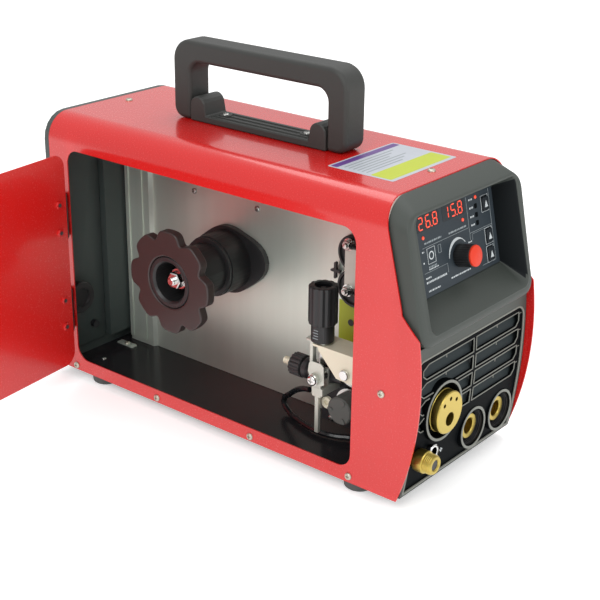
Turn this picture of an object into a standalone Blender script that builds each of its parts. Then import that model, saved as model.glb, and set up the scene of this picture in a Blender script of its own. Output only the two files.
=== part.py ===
"""Compact MIG welding machine, its wire compartment door standing open.

Frame: +X to the front panel, +Z up, wire compartment on the -Y side, origin on the underside
of the base pan. Lengths below are millimetres; finish() scales each mesh to metres.
"""

import math

import bmesh
import bpy
from mathutils import Matrix, Vector

MM = 0.001

# Cabinet
HALF_WIDTH = 90.0
HEIGHT = 262.0
REAR_X = -210.0
ROOF_FRONT_X = 184.5
SHEET = 1.2
BEND = 25.0
GAP = 0.3
INSIDE = HALF_WIDTH - SHEET
CHEEK_CENTRE = (-61.0, 105.0)
CHEEK_RADIUS = 290.0
PANEL_CENTRE = (-278.5, 100.0)
PANEL_RADIUS = 500.0
FOOT_HEIGHT = 10.0
PAD = 0.5

# Compartment door, drawn closed about its pivot and then swung open
OPENING = (-185.2, 160.3, 13.3, 232.4)
DOOR_GAP = 1.0
DOOR_PIVOT = Vector((-187.5, -96.5, 0.0))
DOOR_OPEN = math.radians(-84.0)
HINGE_SPANS = {"upper": (145.0, 188.0), "lower": (47.0, 90.0)}
LATCH = (142.0, 123.0)

# Spool hub
HUB = (-57.0, 128.0)

# Wire feeder
WIRE_Y = -40.0
WIRE_Z = 65.0
ROLL_X = 129.0
DRIVE_Z = 49.0
DRIVE_R = 15.6
PRESSURE_Z = 82.0
PRESSURE_R = 16.0
ARM_PIVOT = (148.0, 88.0)
ROD = Vector((97.0, -50.0, 68.5))

# Grille slots
SLOT_ROWS = 4
SLOT_LOW = 61.5
SLOT_PITCH = 16.2
SLOT_TALL = 12.8

# Display, a plane that leans back; heights on it are given by z
DISPLAY_TILT = math.atan(0.219)
DISPLAY_Z = (168.5, 235.5)
DISPLAY_HALF = 71.5
ENCODER = (10.3, 190.4)
KEYS = {"upper": (58.0, 223.5), "middle": (58.5, 195.3), "lower": (58.0, 179.4)}
KEY_SIZE = (9.0, 12.0)

# Front connectors: y, z
EURO = (-40.0, 71.0)
DINSE = {"left": (14.5, 31.7), "right": (59.5, 31.5)}
GAS = (-72.5, 37.3)
SOCKET = (-53.0, 36.5)

# Rear fittings: y, z
FAN = (46.0, 95.0)
SWITCH = (30.0, 200.0)
GLAND = (-70.0, 70.0)
GAS_IN = (-48.0, 32.0)

X_AXIS = Matrix.Rotation(math.radians(90), 4, "Y")
NEAR = Matrix.Rotation(math.radians(90), 4, "X")
FAR = Matrix.Rotation(math.radians(-90), 4, "X")
ALONG_DISPLAY = Matrix.Rotation(math.radians(90) - DISPLAY_TILT, 4, "Y")

for old in list(bpy.data.objects):
    bpy.data.objects.remove(old, do_unlink=True)

MACHINE = bpy.data.collections.new("mig_welding_machine")
CUTTERS = bpy.data.collections.new("cutters")
bpy.context.scene.collection.children.link(MACHINE)
bpy.context.scene.collection.children.link(CUTTERS)

RED = (0.78, 0.11, 0.09, 0.35, 0.0)
BLACK = (0.02, 0.02, 0.022, 0.45, 0.0)
GREY = (0.09, 0.1, 0.1, 0.5, 0.0)
HANDLE = (0.08, 0.08, 0.075, 0.55, 0.0)
STEEL = (0.55, 0.54, 0.5, 0.4, 1.0)
CHROME = (0.75, 0.75, 0.75, 0.12, 1.0)
BRASS = (0.62, 0.45, 0.12, 0.3, 1.0)
CREAM = (0.72, 0.7, 0.6, 0.45, 0.0)
RUBBER = (0.06, 0.06, 0.06, 0.85, 0.0)
BOARD = (0.03, 0.16, 0.07, 0.5, 0.0)
ALUMINIUM = (0.6, 0.61, 0.62, 0.4, 1.0)


def paint(name, look):
    """A Principled material from (red, green, blue, roughness, metallic)."""
    material = bpy.data.materials.new(name)
    material.use_nodes = True
    shader = material.node_tree.nodes["Principled BSDF"]
    shader.inputs["Base Color"].default_value = (*look[:3], 1.0)
    shader.inputs["Roughness"].default_value = look[3]
    shader.inputs["Metallic"].default_value = look[4]
    return material


def finish(bm):
    bmesh.ops.scale(bm, vec=(MM, MM, MM), verts=bm.verts)
    mesh = bpy.data.meshes.new("mesh")
    bm.to_mesh(mesh)
    bm.free()
    return mesh


def node(name, mesh, look, at=(0, 0, 0), turn=None):
    """Links a named piece with its own material; at is its origin in mm."""
    obj = bpy.data.objects.new(name, mesh)
    MACHINE.objects.link(obj)
    mesh.materials.append(paint(name, look))
    obj.matrix_world = Matrix.Translation(Vector(at) * MM) @ (turn or Matrix())
    return obj


def helper(mesh, at=(0, 0, 0), turn=None):
    obj = bpy.data.objects.new("helper", mesh)
    CUTTERS.objects.link(obj)
    obj.matrix_world = Matrix.Translation(Vector(at) * MM) @ (turn or Matrix())
    obj.hide_render = True
    obj.display_type = "WIRE"
    return obj


def combine(obj, operation, *others):
    for other in others:
        step = obj.modifiers.new(operation.title(), "BOOLEAN")
        step.operation = operation
        step.solver = "EXACT"
        step.object = other
    return obj


def cut(obj, *others):
    return combine(obj, "DIFFERENCE", *others)


def unite(obj, *others):
    return combine(obj, "UNION", *others)


def soften(obj, width, segments=2, angle=40):
    bevel = obj.modifiers.new("Bevel", "BEVEL")
    bevel.width = width * MM
    bevel.segments = segments
    bevel.limit_method = "ANGLE"
    bevel.angle_limit = math.radians(angle)
    bevel.use_clamp_overlap = True
    return obj


def point(axis, along, u, v):
    return {"X": (along, u, v), "Y": (u, along, v), "Z": (u, v, along)}[axis]


def prism(outline, axis, start, end):
    """A 2-D outline carried along an axis. X takes (y, z), Y takes (x, z), Z takes (x, y)."""
    bm = bmesh.new()
    face = bm.faces.new([bm.verts.new(point(axis, start, u, v)) for u, v in outline])
    grown = bmesh.ops.extrude_face_region(bm, geom=[face])
    moved = [v for v in grown["geom"] if isinstance(v, bmesh.types.BMVert)]
    bmesh.ops.translate(bm, verts=moved, vec=point(axis, end - start, 0, 0))
    bmesh.ops.recalc_face_normals(bm, faces=bm.faces)
    return finish(bm)


def block(x, y, z):
    return prism([(y[0], z[0]), (y[1], z[0]), (y[1], z[1]), (y[0], z[1])], "X", *x)


def arc(centre, radius, start, end, steps):
    """Points on a circle, from one angle to another in degrees."""
    turn = math.radians(end - start) / steps
    angles = [math.radians(start) + turn * i for i in range(steps + 1)]
    return [(centre[0] + radius * math.cos(a), centre[1] + radius * math.sin(a)) for a in angles]


def rounded(u, v, low, high=None, steps=5):
    """A rectangle whose lower corners have radius low and upper corners radius high."""
    high = low if high is None else high
    return (
        arc((u[1] - low, v[0] + low), low, -90, 0, steps)
        + arc((u[1] - high, v[1] - high), high, 0, 90, steps)
        + arc((u[0] + high, v[1] - high), high, 90, 180, steps)
        + arc((u[0] + low, v[0] + low), low, 180, 270, steps)
    )


def fluted(radius, depth, count, sharpness, samples):
    """A round outline with evenly spaced hollows."""
    outline = []
    for i in range(samples):
        a = 2 * math.pi * i / samples
        r = radius - depth * ((1 - math.cos(count * a)) / 2) ** sharpness
        outline.append((r * math.cos(a), r * math.sin(a)))
    return outline


def disc(radius, steps=32):
    return arc((0, 0), radius, 0, 360 - 360 / steps, steps - 1)


def moved(outline, u, v):
    return [(a + u, b + v) for a, b in outline]


def lathe(name, profile, look, at, turn, steps=32):
    """Turns (radius, height) points, listed down the outer side, about the local Z."""
    bm = bmesh.new()
    ring = [bm.verts.new((r, 0, h)) for r, h in profile]
    for first, second in zip(ring, ring[1:]):
        bm.edges.new((first, second))
    if profile[0][0] > 0:
        bm.edges.new((ring[-1], ring[0]))
    obj = node(name, finish(bm), look, at, turn)
    screw = obj.modifiers.new("Screw", "SCREW")
    screw.axis = "Z"
    screw.steps = steps
    screw.render_steps = steps
    screw.use_merge_vertices = True
    screw.merge_threshold = 0.00001
    return obj


def drum(radius, start, end, at, turn, steps=32):
    """A plain cylinder for cutting or joining, from height start to end on its own axis."""
    return helper(prism(disc(radius, steps), "Z", start, end), at, turn)


def loft(loops):
    """A closed skin through a ring of loops with equal counts, the last joined to the first."""
    bm = bmesh.new()
    rings = [[bm.verts.new(p) for p in loop] for loop in loops]
    count = len(rings[0])
    for near, far in zip(rings, rings[1:] + rings[:1]):
        for i in range(count):
            j = (i + 1) % count
            bm.faces.new((near[i], near[j], far[j], far[i]))
    bmesh.ops.recalc_face_normals(bm, faces=bm.faces)
    return finish(bm)


def on_display(y, z, out=0.0):
    """A point on the display plane, raised off it by out."""
    x = 186.0 + (232.0 - z) * math.tan(DISPLAY_TILT)
    return (x + out * math.cos(DISPLAY_TILT), y, z + out * math.sin(DISPLAY_TILT))


# ---- Cabinet ----


shell_section = (
    [(HALF_WIDTH, 0.0)]
    + arc((HALF_WIDTH - BEND, HEIGHT - BEND), BEND, 0, 90, 6)
    + arc((BEND - HALF_WIDTH, HEIGHT - BEND), BEND, 90, 180, 6)
    + [(-HALF_WIDTH, 0.0), (-INSIDE, 0.0)]
    + arc((BEND - HALF_WIDTH, HEIGHT - BEND), BEND - SHEET, 180, 90, 6)
    + arc((HALF_WIDTH - BEND, HEIGHT - BEND), BEND - SHEET, 90, 0, 6)
    + [(INSIDE, 0.0)]
)
shell = node("outer_shell", prism(shell_section, "X", REAR_X, 240.0), RED)

cheek_low = math.degrees(math.asin(-CHEEK_CENTRE[1] / CHEEK_RADIUS))
cheek_high = math.degrees(math.asin((152.0 - CHEEK_CENTRE[1]) / CHEEK_RADIUS))
side_outline = (
    [(REAR_X - 5, -5.0), (209.3, -5.0)]
    + arc(CHEEK_CENTRE, CHEEK_RADIUS, cheek_low, cheek_high, 12)
    + [(214.0, 163.0), (207.5, 170.0), (206.6, 175.0), (ROOF_FRONT_X, 263.0), (REAR_X - 5, 263.0)]
)
combine(shell, "INTERSECT", helper(prism(side_outline, "Y", -95.0, 95.0)))
x0, x1, z0, z1 = OPENING
cut(shell, helper(prism(rounded((x0, x1), (z0, z1), 14.0), "Y", -95.0, -80.0)))
for row in range(7):
    z = 60.0 + 12.0 * row
    cut(shell, helper(prism(rounded((-150.0, -70.0), (z, z + 4.0), 1.9, steps=2), "Y", 80.0, 95.0)))

pan_half = INSIDE - GAP
pan_section = [
    (-pan_half, PAD), (pan_half, PAD), (pan_half, 12.0), (pan_half - 1.5, 12.0),
    (pan_half - 1.5, 1.6), (1.5 - pan_half, 1.6), (1.5 - pan_half, 12.0), (-pan_half, 12.0),
]
pan = node("base_pan", prism(pan_section, "X", -210.0, 204.0), BLACK)
unite(pan, helper(prism(rounded((-60.0, 60.0), (-35.0, 35.0), 8.0), "Z", 0.0, PAD + 0.3)))

wall_outline = [
    (170.0, 1.0), (170.0, 2.2), (-162.6, 2.2), (-165.2, -1.8), (-198.0, -1.8),
    (-198.0, -3.0), (-165.8, -3.0), (-163.2, 1.0),
]
wall = node("partition_wall", prism(wall_outline, "Z", 1.9, 258.0), STEEL)
cut(wall, drum(24.0, -5.0, 8.0, (125.0, 0.0, 50.0), FAR, 32))

rear_outline = rounded((-HALF_WIDTH, HALF_WIDTH), (0.0, HEIGHT), 2.0, BEND, 5)
rear = node("rear_panel", prism(rear_outline, "X", -216.0, -210.4), GREY)
unite(rear, helper(block((-211.0, -201.0), (-30.0, 85.0), (14.0, 248.0))))
cut(rear, helper(block((-220.0, -204.0), (-27.0, 82.0), (17.0, 245.0))))
for row in range(7):
    z = FAN[1] - 27.0 + 8.0 * row
    cut(rear, helper(block((-206.0, -198.0), (FAN[0] - 28, FAN[0] + 28), (z, z + 4.5))))
cut(rear, helper(block((-206.0, -198.0), (SWITCH[0] - 9.5, SWITCH[0] + 9.5), (SWITCH[1] - 15, SWITCH[1] + 15))))
cut(rear, drum(8.4, -5.0, 12.0, (-216.0, *GLAND), X_AXIS, 24))
cut(rear, drum(4.4, -5.0, 12.0, (-216.0, *GAS_IN), X_AXIS, 20))

low = math.degrees(math.asin((3.0 - PANEL_CENTRE[1]) / PANEL_RADIUS))
high = math.degrees(math.asin((140.0 - PANEL_CENTRE[1]) / PANEL_RADIUS))
front_outline = arc(PANEL_CENTRE, PANEL_RADIUS, low, high, 12) + arc(
    PANEL_CENTRE, PANEL_RADIUS - 2.5, high, low, 12
)
front = node("front_panel", prism(front_outline, "Y", -87.9, 87.9), GREY)
cut(front, drum(27.9, 190.0, 240.0, (0.0, *EURO), X_AXIS, 40))
for place in DINSE.values():
    cut(front, drum(20.4, 190.0, 240.0, (0.0, *place), X_AXIS, 32))
cut(front, drum(8.4, 190.0, 240.0, (0.0, *GAS), X_AXIS, 24))
cut(front, drum(5.4, 190.0, 240.0, (0.0, *SOCKET), X_AXIS, 20))
for row in range(SLOT_ROWS):
    low, high = SLOT_LOW + SLOT_PITCH * row, SLOT_LOW + SLOT_PITCH * row + SLOT_TALL
    left = -11.0 if low < EURO[1] + 27.0 else -76.0
    near_slot = [(left, low + 3), (left + 3, low), (3.5, low), (3.5, high), (left + 3, high), (left, high - 3)]
    far_slot = [(7.5, low), (74.0, low), (78.0, low + 4), (78.0, high), (7.5, high)]
    for slot in (near_slot, far_slot):
        cut(front, helper(prism(slot, "X", 200.0, 235.0)))


def hood_loop(bottom, top, near, far, low_r, high_r):
    """A rounded rectangle across Y that leans from a bottom (x, z) to a top (x, z)."""
    height = math.dist(bottom, top)
    loop = []
    for y, up in rounded((near, far), (0.0, height), low_r, high_r, 6):
        t = up / height
        loop.append((bottom[0] + (top[0] - bottom[0]) * t, y, bottom[1] + (top[1] - bottom[1]) * t))
    return loop


hood_loops = [
    hood_loop((199.0, 142.6), (185.8, 261.2), -86.8, 86.8, 8.0, 25.0),
    hood_loop((222.5, 142.4), (202.0, 252.2), -86.5, 86.5, 12.0, 17.0),
    hood_loop((226.5, 143.4), (204.6, 250.6), -85.6, 85.6, 12.0, 16.0),
    hood_loop((228.0, 146.2), (205.4, 249.6), -83.2, 83.6, 11.0, 13.0),
    hood_loop((227.6, 150.6), (205.2, 248.0), -78.0, 81.2, 9.0, 8.0),
    hood_loop((225.5, 153.6), (203.4, 246.8), -74.0, 79.8, 8.0, 7.0),
    hood_loop((200.4, 167.9), (185.6, 236.3), -DISPLAY_HALF - 0.5, DISPLAY_HALF + 0.5, 2.0, 2.0),
    hood_loop((196.5, 168.0), (182.2, 236.2), -DISPLAY_HALF - 0.5, DISPLAY_HALF + 0.5, 2.0, 2.0),
    hood_loop((193.5, 160.0), (180.9, 240.0), -78.0, 78.0, 4.0, 6.0),
]
node("control_hood", loft(hood_loops), GREY)

middle_z = (DISPLAY_Z[0] + DISPLAY_Z[1]) / 2
tall = (DISPLAY_Z[1] - DISPLAY_Z[0]) / math.cos(DISPLAY_TILT) / 2
face_outline = rounded((-tall, tall), (-DISPLAY_HALF, DISPLAY_HALF), 1.5, steps=3)
face = node("display_panel", prism(face_outline, "Z", -2.0, 0.0), BLACK, on_display(0, middle_z), ALONG_DISPLAY)
cut(face, drum(3.6, -5.0, 5.0, on_display(*ENCODER), ALONG_DISPLAY, 20))
for place in KEYS.values():
    hole = [(-KEY_SIZE[1] / 2 - 0.4, -KEY_SIZE[0] / 2 - 0.4), (KEY_SIZE[1] / 2 + 0.4, KEY_SIZE[0] / 2 + 0.4)]
    outline = rounded((hole[0][0], hole[1][0]), (hole[0][1], hole[1][1]), 1.5, steps=3)
    cut(face, helper(prism(outline, "Z", -5.0, 5.0), on_display(*place), ALONG_DISPLAY))

node(
    "control_board",
    prism(rounded((-30.0, 30.0), (-66.0, 66.0), 2.0, steps=2), "Z", -9.6, -8.0),
    BOARD, on_display(0, middle_z), ALONG_DISPLAY,
)
lathe(
    "encoder_knob",
    [(0, 15.6), (9.4, 15.6), (9.8, 14.8), (10.0, 2.0), (9.8, 0.5), (3.2, 0.5), (3.2, -6.0), (0, -6.0)],
    BLACK, on_display(*ENCODER), ALONG_DISPLAY, 40,
)
lathe(
    "encoder_cap", [(0, 18.0), (8.2, 18.0), (9.2, 17.4), (9.4, 15.9), (0, 15.9)],
    RED, on_display(*ENCODER), ALONG_DISPLAY, 32,
)
for name, place in KEYS.items():
    outline = rounded((-KEY_SIZE[1] / 2, KEY_SIZE[1] / 2), (-KEY_SIZE[0] / 2, KEY_SIZE[0] / 2), 1.4, steps=3)
    soften(node("key_" + name, prism(outline, "Z", -4.0, 1.8), HANDLE, on_display(*place), ALONG_DISPLAY), 0.5, 2)

# ---- Front connectors ----

lathe(
    "euro_insulator",
    [
        (25.0, 221.0), (27.0, 221.0), (27.5, 220.4), (27.5, 204.0), (14.0, 204.0),
        (14.0, 180.0), (12.4, 180.0), (12.4, 212.0), (24.6, 212.0), (24.6, 220.6),
    ],
    GREY, (0, *EURO), X_AXIS, 40,
)
socket = lathe(
    "euro_socket",
    [(0, 227.0), (18.4, 227.0), (19.2, 226.2), (19.2, 212.4), (12.0, 212.4), (12.0, 171.0), (0, 171.0)],
    BRASS, (0, *EURO), X_AXIS, 40,
)
cut(socket, drum(6.2, 198.0, 240.0, (0, EURO[0], WIRE_Z), X_AXIS, 24))
for y in (-9.0, 0.0, 9.0):
    z = EURO[1] + math.sqrt(13.0**2 - y**2)
    cut(socket, drum(1.9, 217.0, 240.0, (0, EURO[0] + y, z), X_AXIS, 12))
for name, place in DINSE.items():
    lathe(
        "dinse_insulator_" + name,
        [
            (17.6, 218.0), (19.4, 218.0), (20.0, 217.4), (20.0, 196.0), (12.4, 196.0),
            (12.4, 207.0), (14.6, 207.0), (14.6, 209.0), (16.0, 209.0), (17.0, 217.4),
        ],
        GREY, (0, *place), X_AXIS, 36,
    )
    lathe(
        "dinse_insert_" + name,
        [(0, 200.0), (7.2, 200.0), (7.2, 212.6), (8.0, 213.5), (11.4, 213.5), (12.0, 212.9), (12.0, 188.0), (0, 188.0)],
        BRASS, (0, *place), X_AXIS, 32,
    )
lathe(
    "gas_outlet",
    [
        (0, 222.0), (4.6, 222.0), (4.6, 235.0), (5.4, 236.0), (7.6, 236.0), (8.4, 235.0), (8.4, 228.0),
        (10.0, 227.0), (10.0, 219.2), (8.0, 219.2), (8.0, 204.0), (0, 204.0),
    ],
    BRASS, (0, *GAS), X_AXIS, 28,
)
lathe(
    "control_socket",
    [(0, 218.6), (4.6, 218.6), (4.6, 221.4), (6.0, 221.4), (6.4, 220.8), (6.4, 218.6), (5.0, 218.6), (5.0, 204.0), (0, 204.0)],
    CHROME, (0, *SOCKET), X_AXIS, 28,
)

# ---- Handle and feet ----

HANDLE_X = (-116.0, 90.0)
HANDLE_TOP = 337.0
LEG = 22.0
inner = (HANDLE_X[0] + LEG, HANDLE_X[1] - LEG)
grip_outline = rounded(HANDLE_X, (HEIGHT + GAP, HANDLE_TOP), 10.9, 20.0, 6)
grip = node("handle_grip", prism(grip_outline, "Y", -14.0, 14.0), HANDLE)
cut(grip, helper(prism(rounded(inner, (HEIGHT - 30.0, HANDLE_TOP - 20.0), 6.0, 12.0, 5), "Y", -20.0, 20.0)))
soften(grip, 3.0, 2)
lobe = 18.0
saddle_outline = (
    [(inner[0] + 0.4, HEIGHT + GAP), (inner[1] - 0.4, HEIGHT + GAP)]
    + arc((inner[1] - 0.4 - lobe / 2, 277.0), lobe / 2, 0, 180, 8)
    + [(inner[1] - 2.0 - lobe, 268.6), (inner[0] + 2.0 + lobe, 268.6)]
    + arc((inner[0] + 0.4 + lobe / 2, 277.0), lobe / 2, 0, 180, 8)
)
saddle = node("handle_base", prism(saddle_outline, "Y", -14.5, 14.5), HANDLE)
soften(saddle, 1.0, 1, 50)
for place, x, y in (("front_near", 159, -73), ("front_far", 159, 73), ("rear_near", -163, -73), ("rear_far", -163, 73)):
    lathe(
        "foot_" + place,
        [(0, -GAP), (14.5, -GAP), (13.7, 1.4 - FOOT_HEIGHT), (12.2, -FOOT_HEIGHT), (0, -FOOT_HEIGHT)],
        RUBBER, (x, y, 0), None, 24,
    )

# ---- Door ----


def closed_door(x, y, z):
    """A place on the closed door, seen from its pivot."""
    return (x - DOOR_PIVOT.x, y - DOOR_PIVOT.y, z)


swing = Matrix.Rotation(DOOR_OPEN, 4, "Z")
left, _, low_z = closed_door(OPENING[0] + DOOR_GAP, 0, OPENING[2] + DOOR_GAP)
right, _, top_z = closed_door(OPENING[1] - DOOR_GAP, 0, OPENING[3] - DOOR_GAP)
skin = -HALF_WIDTH - DOOR_PIVOT.y
door = node("door_panel", prism(rounded((left, right), (low_z, top_z), 13.0), "Y", skin, skin + SHEET), RED, DOOR_PIVOT, swing)
latch_x, _, latch_z = closed_door(LATCH[0], 0, LATCH[1])
cut(door, drum(4.3, -5.0, 5.0, DOOR_PIVOT + swing @ Vector((latch_x, skin, latch_z)), swing @ NEAR, 20))

LEAF = (skin - 2.6, skin - GAP)
for name, (low_end, high_end) in HINGE_SPANS.items():
    third = (high_end - low_end) / 3
    knuckles = ((low_end, low_end + third - GAP), (high_end - third + GAP, high_end))
    leaf = node("hinge_frame_" + name, block((-17.5, -1.0), LEAF, (low_end, high_end)), BLACK, DOOR_PIVOT)
    cut(leaf, drum(5.2, low_end + third - GAP, high_end - third + GAP, DOOR_PIVOT, None, 24))
    for start, end in knuckles:
        unite(leaf, drum(4.5, start, end, DOOR_PIVOT, None, 24))
    unite(leaf, drum(2.0, low_end + 1, high_end - 1, DOOR_PIVOT, None, 16))
    leaf = node("hinge_leaf_" + name, block((1.0, 17.5), LEAF, (low_end, high_end)), BLACK, DOOR_PIVOT, swing)
    for start, end in ((low_end - 1, low_end + third), (high_end - third, high_end + 1)):
        cut(leaf, drum(5.2, start, end, DOOR_PIVOT, None, 24))
    unite(leaf, drum(4.5, low_end + third, high_end - third, DOOR_PIVOT, None, 24))
    cut(leaf, drum(2.3, low_end, high_end, DOOR_PIVOT, None, 16))

latch_place = DOOR_PIVOT + swing @ Vector((latch_x, skin, latch_z))
latch = lathe(
    "door_latch",
    [(0, 9.0), (7.6, 9.0), (8.6, 8.0), (9.0, 0.4), (4.0, 0.4), (4.0, -3.6), (0, -3.6)],
    BLACK, latch_place, swing @ NEAR, 28,
)
unite(latch, helper(prism(rounded((-5.0, 5.0), (-5.0, 22.0), 2.0, steps=2), "Z", -3.7, -1.7), latch_place, swing @ NEAR))

# ---- Spool hub ----

hub_at = (HUB[0], 0, HUB[1])
ears = [(r * math.cos(a), r * math.sin(a)) for r, a in (
    (34.0 + 15.0 * abs(math.cos(t - math.radians(10))) ** 6, t)
    for t in (2 * math.pi * i / 48 for i in range(48))
)]
flange = node("hub_flange", prism(ears, "Z", -0.7, 5.0), BLACK, hub_at, NEAR)
unite(flange, drum(30.0, 4.0, 30.0, hub_at, NEAR, 40))
cut(flange, drum(4.4, 8.0, 40.0, hub_at, NEAR, 20))
lathe(
    "hub_barrel",
    [(21.0, 86.0), (24.2, 86.0), (25.0, 85.0), (25.0, 34.0), (29.0, 33.4), (29.0, 30.4), (4.6, 30.4), (4.6, 46.0), (19.0, 46.0), (19.0, 84.0)],
    BLACK, hub_at, NEAR, 40,
)
star = node("hub_star_nut", prism(fluted(50.0, 7.5, 8, 3, 80), "Z", 77.0, 86.6), BLACK, hub_at, NEAR)
soften(star, 1.8, 2, 50)
cut(star, drum(25.5, 70.0, 90.0, hub_at, NEAR, 40))
bolt = lathe(
    "hub_bolt",
    [(0, 75.0), (3.2, 75.0), (4.0, 74.2), (4.0, 54.0), (12.0, 54.0), (12.0, 51.6), (4.0, 51.6), (4.0, 10.0), (0, 10.0)],
    CHROME, hub_at, NEAR, 24,
)
unite(bolt, helper(prism(disc(7.5, 6), "Z", 53.9, 61.0), hub_at, NEAR))

# ---- Wire feeder ----

plate = node("feed_plate", block((84.0, 156.0), (-32.0, -28.0), (14.0, 98.0)), GREY)
unite(plate, helper(block((101.0, 149.0), (-28.5, 0.7), (24.0, 76.0))))
unite(plate, drum(3.0, 28.5, 60.0, (ARM_PIVOT[0], 0, ARM_PIVOT[1]), NEAR, 16))
cut(plate, drum(4.4, 18.0, 40.0, (ROLL_X, 0, DRIVE_Z), NEAR, 20))
lathe(
    "drive_motor",
    [(0, 62.0), (20.0, 62.0), (22.0, 60.0), (22.0, 1.2), (0, 1.2)],
    BLACK, (125.0, 0, 50.0), FAR, 32,
)
roll_at = (ROLL_X, 0, DRIVE_Z)
lathe(
    "drive_roll",
    [(0, 50.0), (DRIVE_R, 50.0), (DRIVE_R, 41.2), (DRIVE_R - 1.2, 40.0), (DRIVE_R, 38.8), (DRIVE_R, 33.0), (4.0, 33.0), (4.0, 20.0), (0, 20.0)],
    STEEL, roll_at, NEAR, 36,
)
lathe(
    "drive_roll_cap",
    [(0, 66.0), (11.8, 66.0), (13.0, 64.8), (13.0, 50.4), (0, 50.4)],
    GREY, roll_at, NEAR, 28,
)
arm_at = (ARM_PIVOT[0], 0, ARM_PIVOT[1])
px, pz = ARM_PIVOT
cheek = [(98.0, 101.0), (98.0, 97.0), (119.0, 75.0), (136.0, 74.0), (155.0, 81.0), (155.0, 101.0)]
cheek = moved(cheek, -px, -pz)
arm = node("pressure_arm", prism(cheek, "Y", -58.0, -56.0), CREAM, arm_at)
unite(arm, helper(prism(cheek, "Y", -34.4, -32.4), arm_at))
unite(arm, helper(block((92.0 - px, 155.0 - px), (-57.8, -32.6), (99.0 - pz, 101.0 - pz)), arm_at))
cut(arm, helper(block((90.0, 101.3), (-54.3, -45.7), (96.0, 104.0))))
cut(arm, drum(3.3, 20.0, 70.0, arm_at, NEAR, 16))
cut(arm, drum(3.3, 20.0, 70.0, (ROLL_X, 0, PRESSURE_Z), NEAR, 16))
lathe(
    "pressure_roll",
    [(0, 61.0), (4.6, 61.0), (4.6, 58.4), (3.0, 58.4), (3.0, 48.0), (PRESSURE_R, 48.0), (PRESSURE_R, 35.0), (3.0, 35.0), (3.0, 32.6), (0, 32.6)],
    STEEL, (ROLL_X, 0, PRESSURE_Z), NEAR, 36,
)

bracket = node("feed_bracket", block((92.0, 104.0), (-58.0, -32.3), (52.0, 59.0)), CREAM)
unite(bracket, helper(block((92.3, 101.7), (-57.8, -53.2), (50.0, 75.0))))
unite(bracket, helper(block((92.3, 101.7), (-46.8, -45.0), (55.0, 75.0))))
unite(bracket, helper(block((95.4, 99.4), (-57.6, -54.4), (14.0, 54.0))))
unite(bracket, drum(2.4, 44.0, 60.0, (ROD.x, 0, ROD.z), NEAR, 16))
unite(bracket, helper(prism(disc(5.6, 6), "Z", 57.5, 62.8), (ROD.x, 0, ROD.z), NEAR))
rod = lathe(
    "tension_rod", [(0, 77.0), (2.4, 77.0), (3.0, 76.2), (3.0, 3.0), (0, 3.0)], STEEL, ROD, None, 16,
)
unite(rod, drum(5.0, -2.4, 2.4, ROD, NEAR, 24))
cut(rod, drum(2.8, -5.0, 5.0, ROD, NEAR, 16))
grip_low = 103.5 - ROD.z
grip_mid = 120.0 - ROD.z
grip_top = 156.0 - ROD.z
knob = node("tension_knob", prism(fluted(13.2, 1.1, 12, 3, 72), "Z", grip_mid, grip_top), BLACK, ROD)
soften(knob, 2.2, 2, 50)
unite(knob, drum(10.5, grip_low, grip_mid + 1, ROD, None, 32))
cut(knob, drum(3.4, grip_low - 5, 78.0, ROD, None, 16))
cut(knob, drum(8.0, grip_top - 2.5, grip_top + 5, ROD, None, 24))

guide_at = (0, WIRE_Y, WIRE_Z)
inlet = lathe(
    "inlet_guide",
    [(1.0, 113.0), (3.4, 113.0), (4.0, 112.4), (4.0, 76.0), (8.0, 76.0), (8.0, 70.2), (4.0, 70.2), (4.0, 55.4), (2.6, 54.6), (2.6, 51.0), (1.0, 51.0)],
    STEEL, guide_at, X_AXIS, 20,
)
unite(inlet, helper(block((85.0, 91.0), (-46.0, -32.3), (60.0, 72.0))))
cut(inlet, drum(1.0, 40.0, 120.0, guide_at, X_AXIS, 20))
nut = node("inlet_nut", prism(fluted(10.9, 1.0, 16, 2, 64), "Z", 57.6, 69.6), BLACK, guide_at, X_AXIS)
cut(nut, drum(4.3, 40.0, 80.0, guide_at, X_AXIS, 20))
outlet = lathe(
    "outlet_guide",
    [(1.0, 170.6), (3.4, 170.6), (4.0, 170.0), (4.0, 145.6), (3.4, 145.0), (1.0, 145.0)],
    BRASS, guide_at, X_AXIS, 20,
)
unite(outlet, helper(block((147.0, 155.0), (-46.0, -32.3), (58.0, 71.0))))
cut(outlet, drum(1.0, 140.0, 180.0, guide_at, X_AXIS, 20))

LEAD_RADIUS = 2.8
LEAD_ROUTE = (
    (74, -38, 42), (62, -35, 38), (44, -29, 25), (34, -27, 13), (42, -30, 6.4), (60, -37, 5.6),
    (88, -43, 5.6), (106, -40, 5.6), (118, -34, 5.8), (150, -30, 8.0), (188, -24, 18.0),
)
path = bpy.data.curves.new("route", "CURVE")
path.dimensions = "3D"
path.resolution_u = 4
path.bevel_depth = LEAD_RADIUS * MM
path.bevel_resolution = 2
path.use_fill_caps = True
spline = path.splines.new("BEZIER")
spline.bezier_points.add(len(LEAD_ROUTE) - 1)
for bead, place in zip(spline.bezier_points, LEAD_ROUTE):
    bead.co = Vector(place) * MM
    bead.handle_left_type = "AUTO"
    bead.handle_right_type = "AUTO"
lead = bpy.data.objects.new("polarity_lead", path)
MACHINE.objects.link(lead)
path.materials.append(paint("polarity_lead", BLACK))

terminals = node("terminal_block", prism(moved(disc(18.0, 40), 96.0, 171.0), "Y", -4.0, 0.7), BLACK)
unite(terminals, helper(prism(moved(disc(18.0, 40), 96.0, 138.0), "Y", -4.0, 0.7)))
unite(terminals, helper(prism(rounded((90.0, 102.0), (131.0, 187.0), 3.0, steps=3), "Y", -7.0, -3.5)))

# ---- Power side ----

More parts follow.
